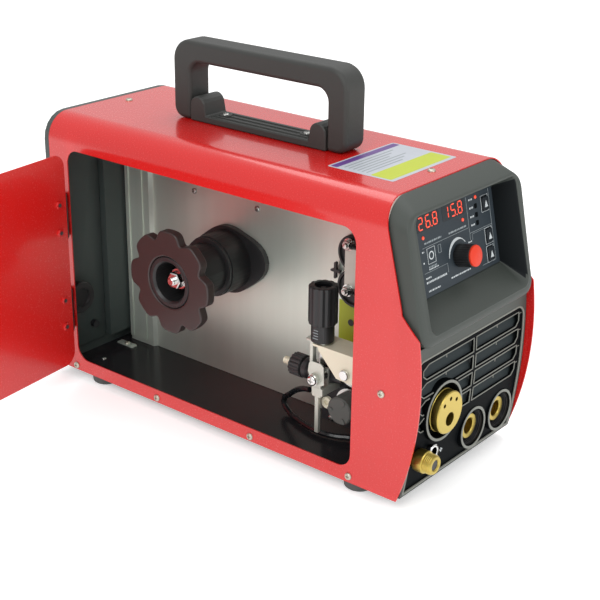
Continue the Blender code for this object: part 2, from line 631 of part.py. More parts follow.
fan_at = (0, *FAN)
frame = node("fan_frame", block((-200.6, -176.0), (FAN[0] - 38, FAN[0] + 38), (FAN[1] - 38, FAN[1] + 38)), BLACK)
cut(frame, drum(35.0, -210.0, -170.0, fan_at, X_AXIS, 40))
unite(frame, helper(block((-179.0, -176.2), (FAN[0] - 36, FAN[0] + 36), (FAN[1] - 4, FAN[1] + 4))))
rotor = lathe(
    "fan_rotor", [(0, -180.0), (13.0, -180.0), (14.0, -181.0), (14.0, -196.0), (0, -196.0)],
    BLACK, fan_at, X_AXIS, 28,
)
for i in range(7):
    pitch = Matrix.Rotation(2 * math.pi * i / 7, 4, "X") @ Matrix.Rotation(math.radians(38), 4, "Z")
    blade = block((-8.0, 8.0), (-0.8, 0.8), (11.0, 33.0))
    unite(rotor, helper(blade, (-188.0, *FAN), pitch))

rocker = [(-2.0, -13.0), (3.0, -13.0), (3.0, 13.0), (-3.5, 14.0), (-1.5, 0.0)]
node("power_switch", prism(rocker, "Y", -9.0, 9.0), BLACK, (-203.0, *SWITCH))
lathe(
    "cable_gland",
    [(4.5, 16.0), (13.4, 16.0), (14.0, 15.0), (14.0, 6.6), (8.0, 6.6), (8.0, -0.6), (12.0, -0.6), (12.0, -8.0), (9.5, -14.0), (4.5, -14.0)],
    BLACK, (-216.8, *GLAND), X_AXIS, 28,
)
lathe(
    "gas_inlet",
    [(0, 14.0), (4.0, 14.0), (4.0, -0.6), (7.0, -0.6), (7.0, -5.0), (4.0, -5.0), (3.4, -18.0), (1.8, -18.0), (1.8, -6.0), (0, -6.0)],
    BRASS, (-216.8, *GAS_IN), X_AXIS, 20,
)
node("inverter_board", block((-150.0, 90.0), (10.0, 80.0), (150.0, 151.6)), BOARD)
comb = [(10.0, 112.0), (10.0, 106.0)]
for i in range(9):
    y = 10.0 + 8.0 * i
    comb += [(y, 60.0), (y + 3.0, 60.0), (y + 3.0, 106.0), (y + 8.0, 106.0)]
comb = comb[:-1] + [(77.0, 112.0)]
node("heatsink", prism(comb[1:] + [comb[0]], "X", -150.0, -20.0), ALUMINIUM)
soften(node("transformer", block((0.0, 75.0), (20.0, 80.0), (2.0, 70.0)), STEEL), 3.0, 2)
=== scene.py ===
"""Looks, camera and light for the MIG welding machine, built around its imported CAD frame.

Lengths in this script are millimetres in the CAD frame unless a name says otherwise:
+X to the front panel, -Y to the open wire compartment, +Z up.
"""

import math

import bmesh
import bpy
from mathutils import Matrix, Vector


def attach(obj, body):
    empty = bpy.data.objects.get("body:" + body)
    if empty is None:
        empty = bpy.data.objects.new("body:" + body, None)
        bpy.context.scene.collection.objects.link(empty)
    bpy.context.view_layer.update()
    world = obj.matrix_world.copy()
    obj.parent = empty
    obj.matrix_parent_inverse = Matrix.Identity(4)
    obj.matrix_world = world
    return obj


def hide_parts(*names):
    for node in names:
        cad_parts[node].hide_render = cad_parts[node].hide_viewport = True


MM = 0.001

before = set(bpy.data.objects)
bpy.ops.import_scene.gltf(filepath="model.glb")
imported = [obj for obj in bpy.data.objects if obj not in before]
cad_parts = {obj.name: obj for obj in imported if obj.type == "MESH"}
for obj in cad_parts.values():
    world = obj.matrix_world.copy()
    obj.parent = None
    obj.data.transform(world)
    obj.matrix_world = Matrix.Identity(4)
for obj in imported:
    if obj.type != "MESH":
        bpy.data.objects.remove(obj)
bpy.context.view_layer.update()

# ---- Dimensions shared with the CAD ----

HALF_WIDTH = 90.0
HEIGHT = 262.0
REAR_X = -210.0
ROOF_FRONT_X = 184.5
SHEET = 1.2
BEND = 25.0
OPENING = (-185.2, 160.3, 13.3, 232.4)
CHEEK_CENTRE = (-61.0, 105.0)
CHEEK_RADIUS = 290.0
PANEL_CENTRE = (-278.5, 100.0)
PANEL_RADIUS = 500.0
SLOT_ROWS = 4
SLOT_LOW = 61.5
SLOT_PITCH = 16.2
SLOT_TALL = 12.8
DISPLAY_TILT = math.atan(0.219)
DISPLAY_HALF = 71.5
EURO = (-40.0, 71.0)
WIRE_Z = 65.0
DINSE = ((14.5, 31.7), (59.5, 31.5))
GAS = (-72.5, 37.3)
SOCKET = (-53.0, 36.5)
HUB = (-57.0, 128.0)
DOOR_PIVOT = Vector((-187.5, -96.5, 0.0))
DOOR_OPEN = math.radians(-84.0)
DOOR_SKIN = 6.5
HINGES = ((145.0, 188.0), (47.0, 90.0))
ENCODER = (10.3, 190.4)
KEYS = ((58.0, 223.5), (58.5, 195.3), (58.0, 179.4))

X_AXIS = Matrix.Rotation(math.radians(90), 4, "Y")
NEAR = Matrix.Rotation(math.radians(90), 4, "X")
FAR = Matrix.Rotation(math.radians(-90), 4, "X")
ALONG_DISPLAY = Matrix.Rotation(math.radians(90) - DISPLAY_TILT, 4, "Y")
SWING = Matrix.Translation(DOOR_PIVOT) @ Matrix.Rotation(DOOR_OPEN, 4, "Z")


# ---- Camera ----


def aim_camera(place, azimuth, elevation, roll, lens):
    az, el, turn = (math.radians(a) for a in (azimuth, elevation, roll))
    back = Vector((math.sin(az) * math.cos(el), -math.cos(az) * math.cos(el), math.sin(el)))
    right = (-back).cross(Vector((0, 0, 1))).normalized()
    up = right.cross(-back)
    across = right * math.cos(turn) + up * math.sin(turn)
    upward = up * math.cos(turn) - right * math.sin(turn)
    data = bpy.data.cameras.new("camera")
    data.lens = lens
    data.sensor_width = 36.0
    data.clip_start = 0.05
    data.clip_end = 50.0
    camera = bpy.data.objects.new("camera", data)
    bpy.context.scene.collection.objects.link(camera)
    turned = Matrix((across, upward, back)).transposed().to_4x4()
    camera.matrix_world = Matrix.Translation(place) @ turned
    bpy.context.scene.camera = camera


aim_camera(Vector((0.7445, -0.8819, 0.5812)), 39.006, 22.659, 0.725, 78.40)


# ---- Materials ----


def srgb(red, green, blue):
    """A screen colour from 0 to 255 as linear RGBA."""
    parts = [c / 255 for c in (red, green, blue)]
    linear = [((p + 0.055) / 1.055) ** 2.4 if p > 0.04 else p / 12.92 for p in parts]
    return (*linear, 1.0)


def surface(
    name, colour, rough, metal=0.0, grain=900.0, bump=0.0, vary=0.08, patch=18.0,
    rough_vary=0.06, stretch=(1, 1, 1), wear=0.0, coat=0.0, glow=0.0, shine=0.5,
):
    """A Principled material with colour drift, grain bump, uneven gloss and optional worn edges."""
    material = bpy.data.materials.new(name)
    material.use_nodes = True
    nodes, links = material.node_tree.nodes, material.node_tree.links
    shader = nodes["Principled BSDF"]
    shader.inputs["Metallic"].default_value = metal
    shader.inputs["Specular IOR Level"].default_value = shine
    shader.inputs["Coat Weight"].default_value = coat
    shader.inputs["Coat Roughness"].default_value = 0.06
    place = nodes.new("ShaderNodeTexCoord")
    mapping = nodes.new("ShaderNodeMapping")
    mapping.inputs["Scale"].default_value = stretch
    links.new(place.outputs["Object"], mapping.inputs["Vector"])

    broad = nodes.new("ShaderNodeTexNoise")
    broad.inputs["Scale"].default_value = patch
    broad.inputs["Detail"].default_value = 4.0
    links.new(mapping.outputs["Vector"], broad.inputs["Vector"])
    tint = nodes.new("ShaderNodeMix")
    tint.data_type = "RGBA"
    tint.inputs["A"].default_value = (*(c * (1 - vary) for c in colour[:3]), 1.0)
    tint.inputs["B"].default_value = (*(min(1.0, c * (1 + vary)) for c in colour[:3]), 1.0)
    links.new(broad.outputs["Fac"], tint.inputs["Factor"])
    base = tint.outputs["Result"]
    if wear:
        edge = nodes.new("ShaderNodeNewGeometry")
        reach = nodes.new("ShaderNodeMapRange")
        reach.inputs["From Min"].default_value = 0.53
        reach.inputs["From Max"].default_value = 0.62
        reach.inputs["To Max"].default_value = wear
        links.new(edge.outputs["Pointiness"], reach.inputs["Value"])
        worn = nodes.new("ShaderNodeMix")
        worn.data_type = "RGBA"
        worn.inputs["B"].default_value = (*(min(1.0, c * 1.8 + 0.06) for c in colour[:3]), 1.0)
        links.new(reach.outputs["Result"], worn.inputs["Factor"])
        links.new(base, worn.inputs["A"])
        base = worn.outputs["Result"]
    links.new(base, shader.inputs["Base Color"])

    fine = nodes.new("ShaderNodeTexNoise")
    fine.inputs["Scale"].default_value = grain
    fine.inputs["Detail"].default_value = 3.0
    links.new(mapping.outputs["Vector"], fine.inputs["Vector"])
    gloss = nodes.new("ShaderNodeMapRange")
    gloss.inputs["To Min"].default_value = max(0.02, rough - rough_vary)
    gloss.inputs["To Max"].default_value = min(1.0, rough + rough_vary)
    links.new(fine.outputs["Fac"], gloss.inputs["Value"])
    links.new(gloss.outputs["Result"], shader.inputs["Roughness"])
    if bump:
        relief = nodes.new("ShaderNodeBump")
        relief.inputs["Strength"].default_value = bump
        relief.inputs["Distance"].default_value = 0.0004
        links.new(fine.outputs["Fac"], relief.inputs["Height"])
        links.new(relief.outputs["Normal"], shader.inputs["Normal"])
    if glow:
        shader.inputs["Emission Color"].default_value = colour
        shader.inputs["Emission Strength"].default_value = glow
    return material


RED = surface(
    "red_powder_coat", srgb(190, 14, 11), 0.26, grain=700, bump=0.03, vary=0.03, coat=0.5,
    wear=0.1,
)
HOOD = surface(
    "grey_moulding", srgb(56, 61, 57), 0.55, grain=1500, bump=0.16, vary=0.05, wear=0.1,
    shine=0.4,
)
# Painted shade: a darker copy of the hood moulding, laid on the far inner wall of the display cavity.
HOOD_PAINTED_SHADE = surface(
    "painted_shade_moulding", srgb(18, 22, 24), 0.6, grain=1500, bump=0.12, vary=0.08, shine=0.15,
)
FRAME = surface(
    "grey_frame", srgb(66, 70, 66), 0.55, grain=1500, bump=0.16, vary=0.05, wear=0.1, shine=0.3,
)
RIM = surface("pale_rim", srgb(118, 120, 114), 0.5, grain=1500, bump=0.1, vary=0.06, shine=0.3)
GRIP = surface(
    "handle_moulding", srgb(50, 51, 49), 0.55, grain=1300, bump=0.3, vary=0.07, wear=0.12,
    shine=0.4,
)
NYLON = surface(
    "black_nylon", srgb(30, 30, 31), 0.4, grain=1100, bump=0.14, vary=0.12, wear=0.25, shine=0.4,
)
STAR = surface(
    "warm_nylon", srgb(52, 42, 41), 0.36, grain=900, bump=0.06, vary=0.1, wear=0.1, shine=0.4,
)
SATIN = surface(
    "black_satin", srgb(22, 22, 24), 0.35, grain=900, bump=0.05, vary=0.1, wear=0.1, shine=0.3,
)
GLOSS = surface("black_face", srgb(10, 13, 15), 0.5, grain=900, bump=0.05, vary=0.15, shine=0.02)
SCREEN = surface("display_face", srgb(47, 55, 61), 0.5, grain=500, bump=0.02, vary=0.06, shine=0.2)
PAN = surface("black_floor_paint", srgb(31, 30, 32), 0.2, grain=800, bump=0.04, vary=0.12, shine=0.3)
LINER = surface("rear_plastic", srgb(60, 69, 67), 0.5, grain=1300, bump=0.15, vary=0.08)
ZINC = surface(
    "galvanised_sheet", srgb(206, 214, 204), 0.36, 0.68, grain=260, bump=0.015, vary=0.1, patch=9,
    rough_vary=0.07, stretch=(5, 1, 0.12),
)
STEEL = surface(
    "turned_steel", srgb(176, 176, 172), 0.26, 1.0, grain=300, bump=0.05, stretch=(1, 6, 1),
    wear=0.2,
)
SCREW = surface("screw_zinc", srgb(190, 186, 172), 0.36, 0.9, grain=500, bump=0.05, vary=0.1)
BRIGHT = surface("bright_plating", srgb(214, 214, 212), 0.14, 1.0, grain=300, bump=0.02, vary=0.05)
BRASS = surface(
    "turned_brass", srgb(184, 163, 84), 0.32, 1.0, grain=500, bump=0.06, stretch=(5, 1, 1),
    vary=0.1,
)
CREAM = surface(
    "cream_coating", srgb(206, 198, 176), 0.4, 0.15, grain=700, bump=0.1, vary=0.06, wear=0.15,
)
PALE = surface("pale_zinc", srgb(190, 192, 182), 0.36, 0.4, grain=500, bump=0.08, vary=0.08)
RUBBER = surface("grey_rubber", srgb(74, 76, 75), 0.8, grain=700, bump=0.3, vary=0.15)
CABLE = surface("cable_sheath", srgb(20, 22, 24), 0.26, grain=500, bump=0.04, vary=0.15, shine=0.4)
COAL = surface("drive_cap", srgb(74, 75, 72), 0.6, grain=700, bump=0.12, vary=0.08, shine=0.3)
MOTOR = surface("motor_black", srgb(30, 30, 33), 0.4, grain=600, bump=0.15, vary=0.15, wear=0.3)
BOARD = surface("circuit_board", srgb(36, 92, 58), 0.45, grain=400, bump=0.15, vary=0.2, patch=90)
ALLOY = surface(
    "extruded_alloy", srgb(178, 180, 182), 0.36, 1.0, grain=90, bump=0.05, stretch=(0.5, 8, 8),
)
CAP_RED = surface("knob_cap", srgb(206, 52, 26), 0.45, grain=500, bump=0.03, vary=0.05, shine=0.25)
LED = surface("red_light", srgb(232, 70, 42), 0.4, glow=0.75, vary=0.02)
INK = surface("panel_ink", srgb(196, 202, 204), 0.5, grain=400, vary=0.06)
DIM_INK = surface("grey_ink", srgb(132, 140, 143), 0.5, grain=400, vary=0.08)
BLADE = surface("louvre_blade", srgb(46, 53, 55), 0.6, grain=1200, bump=0.1, vary=0.08, shine=0.15)
WINDOW = surface("smoked_window", srgb(36, 41, 45), 0.4, grain=500, vary=0.1, shine=0.2)
LINE = surface("moulded_line", srgb(122, 123, 116), 0.5, grain=900, bump=0.1, vary=0.08, shine=0.3)
PAPER = surface("pale_label", srgb(172, 176, 184), 0.45, grain=300, bump=0.03, vary=0.05, patch=60)
LIME = surface("lime_label", srgb(172, 184, 34), 0.45, grain=300, bump=0.03, vary=0.05, patch=60)
PURPLE = surface("purple_label", srgb(92, 58, 126), 0.45, grain=300, vary=0.06, patch=60)

FINISHES = {
    RED: "outer_shell door_panel",
    HOOD: "control_hood",
    LINER: "rear_panel",
    GRIP: "handle_grip handle_base",
    WINDOW: "key_upper key_middle key_lower",
    STAR: "hub_star_nut",
    NYLON: "hub_barrel hub_flange tension_knob inlet_nut cable_gland door_latch"
    " power_switch encoder_knob fan_frame fan_rotor terminal_block",
    SATIN: "hinge_frame_upper hinge_frame_lower hinge_leaf_upper hinge_leaf_lower",
    GLOSS: "euro_insulator dinse_insulator_left dinse_insulator_right front_panel",
    SCREEN: "display_panel",
    PAN: "base_pan",
    ZINC: "partition_wall",
    STEEL: "drive_roll pressure_roll tension_rod inlet_guide transformer",
    BRIGHT: "hub_bolt control_socket",
    BRASS: "euro_socket dinse_insert_left dinse_insert_right gas_outlet outlet_guide",
    CREAM: "pressure_arm",
    PALE: "feed_bracket",
    RUBBER: "foot_front_near foot_front_far foot_rear_near foot_rear_far",
    CABLE: "polarity_lead",
    COAL: "drive_roll_cap",
    MOTOR: "feed_plate drive_motor gas_inlet",
    BOARD: "control_board inverter_board",
    ALLOY: "heatsink",
    CAP_RED: "encoder_cap",
}
for finish, names in FINISHES.items():
    for name in names.split():
        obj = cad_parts[name]
        if not obj.material_slots:
            obj.data.materials.append(finish)
        for slot in obj.material_slots:
            slot.material = finish


# ---- Shape helpers ----

HOLE_CLEARANCE = 0.3
STRIP_STEPS = 24
THROUGH_FRONT = (180, 245)

def finish_mesh(bm, name, material, at=None, turn=None, body="chassis", smooth=35.0):
    """Turns millimetre geometry into a piece that rides on a body."""
    bmesh.ops.recalc_face_normals(bm, faces=bm.faces)
    for edge in bm.edges:
        edge.smooth = edge.is_manifold and edge.calc_face_angle(0) < math.radians(smooth)
    for face in bm.faces:
        face.smooth = True
    bmesh.ops.scale(bm, vec=(MM, MM, MM), verts=bm.verts)
    mesh = bpy.data.meshes.new(name)
    bm.to_mesh(mesh)
    bm.free()
    mesh.materials.append(material)
    piece = bpy.data.objects.new(name, mesh)
    bpy.context.scene.collection.objects.link(piece)
    place = Matrix.Translation(Vector(at or (0, 0, 0)) * MM) @ (turn or Matrix())
    piece.matrix_world = place
    if body:
        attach(piece, body)
    return piece


def add_prism(bm, outline, axis, start, end, bevel=0.0):
    """Adds an outline carried along an axis. X takes (y, z), Y takes (x, z), Z takes (x, y)."""
    def point(along, u, v):
        return {"X": (along, u, v), "Y": (u, along, v), "Z": (u, v, along)}[axis]

    face = bm.faces.new([bm.verts.new(point(start, u, v)) for u, v in outline])
    grown = bmesh.ops.extrude_face_region(bm, geom=[face])
    verts = [v for v in grown["geom"] if isinstance(v, bmesh.types.BMVert)]
    bmesh.ops.translate(bm, verts=verts, vec=point(end - start, 0, 0))
    if bevel:
        rim = {e for v in verts for e in v.link_edges if all(w in verts for w in e.verts)}
        bmesh.ops.bevel(bm, geom=list(rim), offset=bevel, segments=2, affect="EDGES", profile=0.5)


def prism(name, outline, axis, start, end, material, at=None, turn=None, body="chassis", bevel=0.0):
    bm = bmesh.new()
    add_prism(bm, outline, axis, start, end, bevel)
    return finish_mesh(bm, name, material, at, turn, body)


def arc(centre, radius, start, end, steps):
    turn = math.radians(end - start) / steps
    angles = [math.radians(start) + turn * i for i in range(steps + 1)]
    return [(centre[0] + radius * math.cos(a), centre[1] + radius * math.sin(a)) for a in angles]


def rounded(u, v, radius, steps=5):
    return (
        arc((u[1] - radius, v[0] + radius), radius, -90, 0, steps)
        + arc((u[1] - radius, v[1] - radius), radius, 0, 90, steps)
        + arc((u[0] + radius, v[1] - radius), radius, 90, 180, steps)
        + arc((u[0] + radius, v[0] + radius), radius, 180, 270, steps)
    )


def disc(radius, steps=32, centre=(0, 0)):
    return arc(centre, radius, 0, 360 - 360 / steps, steps - 1)


def add_lathe(bm, profile, steps, shape=None):
    """Adds (radius, height) rings about Z. shape(ring, angle) can scale a ring's radius."""
    rings = []
    for i, (radius, height) in enumerate(profile):
        if radius == 0:
            rings.append([bm.verts.new((0, 0, height))])
            continue
        ring = []
        for k in range(steps):
            a = 2 * math.pi * k / steps
            r = radius * (shape(i, a) if shape else 1.0)
            ring.append(bm.verts.new((r * math.cos(a), r * math.sin(a), height)))
        rings.append(ring)
    pairs = list(zip(rings, rings[1:]))
    if len(rings[0]) > 1 and len(rings[-1]) > 1:
        pairs.append((rings[-1], rings[0]))
    elif len(rings[0]) > 1:
        bm.faces.new(rings[0])
    for upper, lower in pairs:
        for k in range(steps):
            j = (k + 1) % steps
            if len(upper) == 1:
                bm.faces.new((upper[0], lower[j], lower[k]))
            elif len(lower) == 1:
                bm.faces.new((upper[k], upper[j], lower[0]))
            else:
                bm.faces.new((upper[k], upper[j], lower[j], lower[k]))


def lathe(name, profile, material, at, turn, steps=32, body="chassis", shape=None):
    bm = bmesh.new()
    add_lathe(bm, profile, steps, shape)
    return finish_mesh(bm, name, material, at, turn, body)


def tube(name, points, radius, material, closed=False, smooth=True):
    """A round bead or cable through points in mm, fixed to the chassis."""
    curve = bpy.data.curves.new(name, "CURVE")
    curve.dimensions = "3D"
    curve.bevel_depth = radius * MM
    curve.bevel_resolution = 3
    curve.use_fill_caps = True
    curve.resolution_u = 8
    spline = curve.splines.new("BEZIER" if smooth else "POLY")
    if smooth:
        spline.bezier_points.add(len(points) - 1)
        for bead, place in zip(spline.bezier_points, points):
            bead.co = Vector(place) * MM
            bead.handle_left_type = "AUTO"
            bead.handle_right_type = "AUTO"
    else:
        spline.points.add(len(points) - 1)
        for bead, place in zip(spline.points, points):
            bead.co = (*(Vector(place) * MM), 1.0)
    spline.use_cyclic_u = closed
    curve.materials.append(material)
    piece = bpy.data.objects.new(name, curve)
    bpy.context.scene.collection.objects.link(piece)
    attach(piece, "chassis")


def cross_recess(deep_ring):
    """Ring shaping for a cross-headed screw: rings from deep_ring on follow a plus sign."""
    def shape(ring, angle):
        if ring < deep_ring:
            return 1.0
        return 0.42 + 0.58 * abs(math.cos(2 * angle)) ** 3
    return shape


def pan_screw(name, at, turn, radius, material, body="chassis"):
    shares = [(1.0, 0.0), (1.0, 0.25), (0.86, 0.46), (0.6, 0.58), (0.56, 0.56), (0.5, 0.15), (0, 0.1)]
    profile = [(radius * wide, radius * high) for wide, high in shares]
    return lathe(name, profile, material, at, turn, 32, body, cross_recess(4))


def on_display(y, z, out=0.0):
    x = 186.0 + (232.0 - z) * math.tan(DISPLAY_TILT)
    return Vector((x + out * math.cos(DISPLAY_TILT), y, z + out * math.sin(DISPLAY_TILT)))


def front_x(z, behind=0.0):
    """Where the curved front stands at height z, or a surface that far behind it."""
    return PANEL_CENTRE[0] + math.sqrt((PANEL_RADIUS - behind) ** 2 - (z - PANEL_CENTRE[1]) ** 2)


def curved_strip(bm, z_range, y_range, behind):
    """A plate bent to the front's curve, between two depths behind it."""
    z0, z1 = z_range
    heights = [z0 + (z1 - z0) * i / STRIP_STEPS for i in range(STRIP_STEPS + 1)]
    outline = [(front_x(z, behind[0]), z) for z in heights]
    outline += [(front_x(z, behind[1]), z) for z in heights[::-1]]
    add_prism(bm, outline, "Y", *y_range)


def cutter(outline, axis, start, end):
    return prism("cutter", outline, axis, start, end, COAL, body=None)


def drums(places):
    """Cutters along X for round holes with a small clearance, from (y, z), radius pairs."""
    return [
        cutter(disc(radius + HOLE_CLEARANCE, 56, place), "X", *THROUGH_FRONT)
        for place, radius in places
    ]


def carve(piece, cutters, operation="DIFFERENCE"):
    """Applies the cutters, then gives flat faces true flat normals beside the round ones."""
    for tool in cutters:
        step = piece.modifiers.new("cut", "BOOLEAN")
        step.operation = operation
        step.object = tool
        step.solver = "EXACT"
    graph = bpy.context.evaluated_depsgraph_get()
    carved = bpy.data.meshes.new_from_object(piece.evaluated_get(graph))
    piece.modifiers.clear()
    piece.data = carved
    carved.shade_smooth()
    carved.set_sharp_from_angle(angle=math.radians(32))
    even = piece.modifiers.new("even", "WEIGHTED_NORMAL")
    even.keep_sharp = True
    for tool in cutters:
        bpy.data.objects.remove(tool, do_unlink=True)
    return piece


def round_edges(piece, width, segments, angle):
    """Rounds the edges sharper than angle, and evens the normals beside them."""
    piece.modifiers.clear()
    edge = piece.modifiers.new("edge", "BEVEL")
    edge.width = width * MM
    edge.segments = segments
    edge.limit_method = "ANGLE"
    edge.angle_limit = math.radians(angle)
    even = piece.modifiers.new("even", "WEIGHTED_NORMAL")
    even.keep_sharp = True


# ---- Cabinet skin and hood, with finer curves than their CAD solids ----


def shell_skin():
    inside = HALF_WIDTH - SHEET
    right, left = (HALF_WIDTH - BEND, HEIGHT - BEND), (BEND - HALF_WIDTH, HEIGHT - BEND)
    section = (
        [(HALF_WIDTH, 0.0)] + arc(right, BEND, 0, 90, 20) + arc(left, BEND, 90, 180, 20)
        + [(-HALF_WIDTH, 0.0), (-inside, 0.0)]
        + arc(left, BEND - SHEET, 180, 90, 20) + arc(right, BEND - SHEET, 90, 0, 20) + [(inside, 0.0)]
    )
    skin = prism("cabinet_skin", section, "X", REAR_X, 240.0, RED)
    low = math.degrees(math.asin(-CHEEK_CENTRE[1] / CHEEK_RADIUS))
    high = math.degrees(math.asin((152.0 - CHEEK_CENTRE[1]) / CHEEK_RADIUS))
    side = (
        [(REAR_X - 5, -5.0), (209.3, -5.0)] + arc(CHEEK_CENTRE, CHEEK_RADIUS, low, high, 40)
        + [(214.0, 163.0), (207.5, 170.0), (206.6, 175.0), (ROOF_FRONT_X, 263.0), (REAR_X - 5, 263.0)]
    )
    carve(skin, [cutter(side, "Y", -95.0, 95.0)], "INTERSECT")
    x0, x1, z0, z1 = OPENING
    holes = [cutter(rounded((x0, x1), (z0, z1), 14.0, 12), "Y", -95.0, -80.0)]
    for row in range(7):
        z = 60.0 + 12.0 * row
        holes.append(cutter(rounded((-150.0, -70.0), (z, z + 4.0), 1.9, 6), "Y", 80.0, 95.0))
    skin.modifiers.clear()
    carve(skin, holes)
    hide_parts("outer_shell")


def hood_loop(bottom, top, near, far, low_r, high_r):
    """A rounded rectangle across Y that leans from a bottom (x, z) to a top (x, z)."""
    height = math.dist(bottom, top)
    outline = (
        arc((far - low_r, low_r), low_r, -90, 0, 12)
        + arc((far - high_r, height - high_r), high_r, 0, 90, 12)
        + arc((near + high_r, height - high_r), high_r, 90, 180, 12)
        + arc((near + low_r, low_r), low_r, 180, 270, 12)
    )
    lean = Vector((top[0] - bottom[0], 0.0, top[1] - bottom[1])) / height
    return [Vector((bottom[0], y, bottom[1])) + lean * up for y, up in outline]


def between(before, start, end, after, steps):
    """Loops on a smooth curve from start up to end, point by point."""
    loops = []
    for i in range(steps):
        t = i / steps
        weights = (
            -0.5 * t + t**2 - 0.5 * t**3, 1 - 2.5 * t**2 + 1.5 * t**3,
            0.5 * t + 2 * t**2 - 1.5 * t**3, -0.5 * t**2 + 0.5 * t**3,
        )
        corners = zip(before, start, end, after)
        loops.append([sum((p * w for p, w in zip(four, weights)), Vector()) for four in corners])
    return loops


# Where the painted shade goes: the far inner wall of the display cavity, on faces turned to the camera
# side.
SHADED_WALL_X = (186.0, 223.5)
SHADED_WALL_Y = 68.0


def hood_skin():
    """The hood lofted through loops that stand for its sections, its far inner wall darker as painted
    shade.
    """
    window = DISPLAY_HALF + 0.5
    loops = [
        hood_loop((199.0, 142.6), (185.8, 261.2), -86.8, 86.8, 8.0, 25.0),
        hood_loop((222.5, 142.4), (202.0, 252.2), -86.5, 86.5, 12.0, 17.0),
        hood_loop((226.5, 143.4), (204.6, 250.6), -85.6, 85.6, 12.0, 16.0),
        hood_loop((228.0, 146.2), (205.4, 249.6), -83.2, 83.6, 11.0, 13.0),
        hood_loop((227.6, 150.6), (205.2, 248.0), -78.0, 79.6, 9.0, 8.0),
        hood_loop((225.5, 153.6), (203.4, 246.8), -74.0, 76.8, 8.0, 7.0),
        hood_loop((200.4, 167.9), (185.6, 236.3), -window, window, 2.0, 2.0),
        hood_loop((196.5, 168.0), (182.2, 236.2), -window, window, 2.0, 2.0),
        hood_loop((193.5, 160.0), (180.9, 240.0), -78.0, 78.0, 4.0, 6.0),
    ]
    fine = [loops[0]]
    for i in range(1, 5):
        fine += between(loops[i - 1], loops[i], loops[i + 1], loops[i + 2], 5)
    fine += loops[5:]
    bm = bmesh.new()
    rings = [[bm.verts.new(p) for p in loop] for loop in fine]
    count = len(rings[0])
    for near, far in zip(rings, rings[1:] + rings[:1]):
        for i in range(count):
            j = (i + 1) % count
            bm.faces.new((near[i], near[j], far[j], far[i]))
    skin = finish_mesh(bm, "hood_skin", HOOD, smooth=28.0)
    # The far inner wall's faces get the darker copy as painted shade.
    skin.data.materials.append(HOOD_PAINTED_SHADE)
    for face in skin.data.polygons:
        x, y, _ = face.center / MM
        if SHADED_WALL_X[0] < x < SHADED_WALL_X[1] and y > SHADED_WALL_Y and face.normal.y < -0.75:
            face.material_index = 1
    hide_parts("control_hood")


shell_skin()
hood_skin()

# ---- Cabinet screws and roof label ----

SCREW_HEAD = 3.4

for i, (x, z) in enumerate([(-188.0, 4.6), (-73.3, 5.0), (46.3, 5.0), (159.3, 6.1), (190.5, 95.7)]):
    pan_screw(f"side_screw_{i}", (x, -HALF_WIDTH, z), NEAR, SCREW_HEAD, SCREW)
    pan_screw(f"far_screw_{i}", (x, HALF_WIDTH, z), FAR, SCREW_HEAD, SCREW)
for i, x in enumerate((169.6, -191.6)):
    pan_screw(f"roof_screw_{i}", (x, 0, HEIGHT), None, SCREW_HEAD, SCREW)

LABEL_X = (95.0, 163.0)
LABEL_Y = (-46.0, 49.0)
LABEL_TOP = HEIGHT + 0.14
RULE_PITCH = 4.6


def roof_label():
    """A pale label with two colour patches and a few rules in place of its lettering."""
    (x0, x1), (y0, y1) = LABEL_X, LABEL_Y
    prism("roof_label", rounded(LABEL_X, LABEL_Y, 2.0), "Z", HEIGHT + 0.02, LABEL_TOP, PAPER)
    band = rounded((x0 + 2, x0 + 9), (y0 + 2, y1 - 2), 1.0, 2)
    prism("roof_label_band", band, "Z", LABEL_TOP, HEIGHT + 0.2, PURPLE)
    strip = rounded((x1 - 25, x1 - 4), (y0 + 3, y1 - 3), 1.0, 2)
    prism("roof_label_strip", strip, "Z", LABEL_TOP, HEIGHT + 0.2, LIME)
    for i in range(6):
        x = x0 + 13.0 + RULE_PITCH * i
        reach = 70.0 - 9.0 * (i % 3)
        rule = rounded((x, x + 1.5), (y0 + 6, y0 + 6 + reach), 0.6, 2)
        prism(f"roof_label_rule_{i}", rule, "Z", LABEL_TOP, HEIGHT + 0.18, DIM_INK)


roof_label()

# ---- Handle ----

HANDLE_X = (-116.0, 90.0)
HANDLE_TOP = 337.0
LEG = 22.0
SHOULDER = 20.0
FOOT_ROUND = 10.9
FOOT_MIDDLE = HEIGHT + 11.2
INNER_ROUND = 12.0
INNER_Z = HANDLE_TOP - 32.0


def handle_skin():
    """The grip as one moulding with generously rounded edges."""
    rear, front = HANDLE_X
    high = HANDLE_TOP - SHOULDER
    outer = (
        arc((front - FOOT_ROUND, FOOT_MIDDLE), FOOT_ROUND, -90, 0, 10)
        + arc((front - SHOULDER, high), SHOULDER, 0, 90, 16)
        + arc((rear + SHOULDER, high), SHOULDER, 90, 180, 16)
        + arc((rear + FOOT_ROUND, FOOT_MIDDLE), FOOT_ROUND, 180, 270, 10)
    )
    gap = (
        [(rear + LEG, HEIGHT - 30), (front - LEG, HEIGHT - 30)]
        + arc((front - LEG - INNER_ROUND, INNER_Z), INNER_ROUND, 0, 90, 12)
        + arc((rear + LEG + INNER_ROUND, INNER_Z), INNER_ROUND, 90, 180, 12)
    )
    skin = prism("handle_skin", outer, "Y", -14.0, 14.0, GRIP)
    carve(skin, [cutter(gap, "Y", -20.0, 20.0)])
    round_edges(skin, 4.2, 5, 40.0)
    skin.data.set_sharp_from_angle(angle=math.radians(180))
    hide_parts("handle_grip")


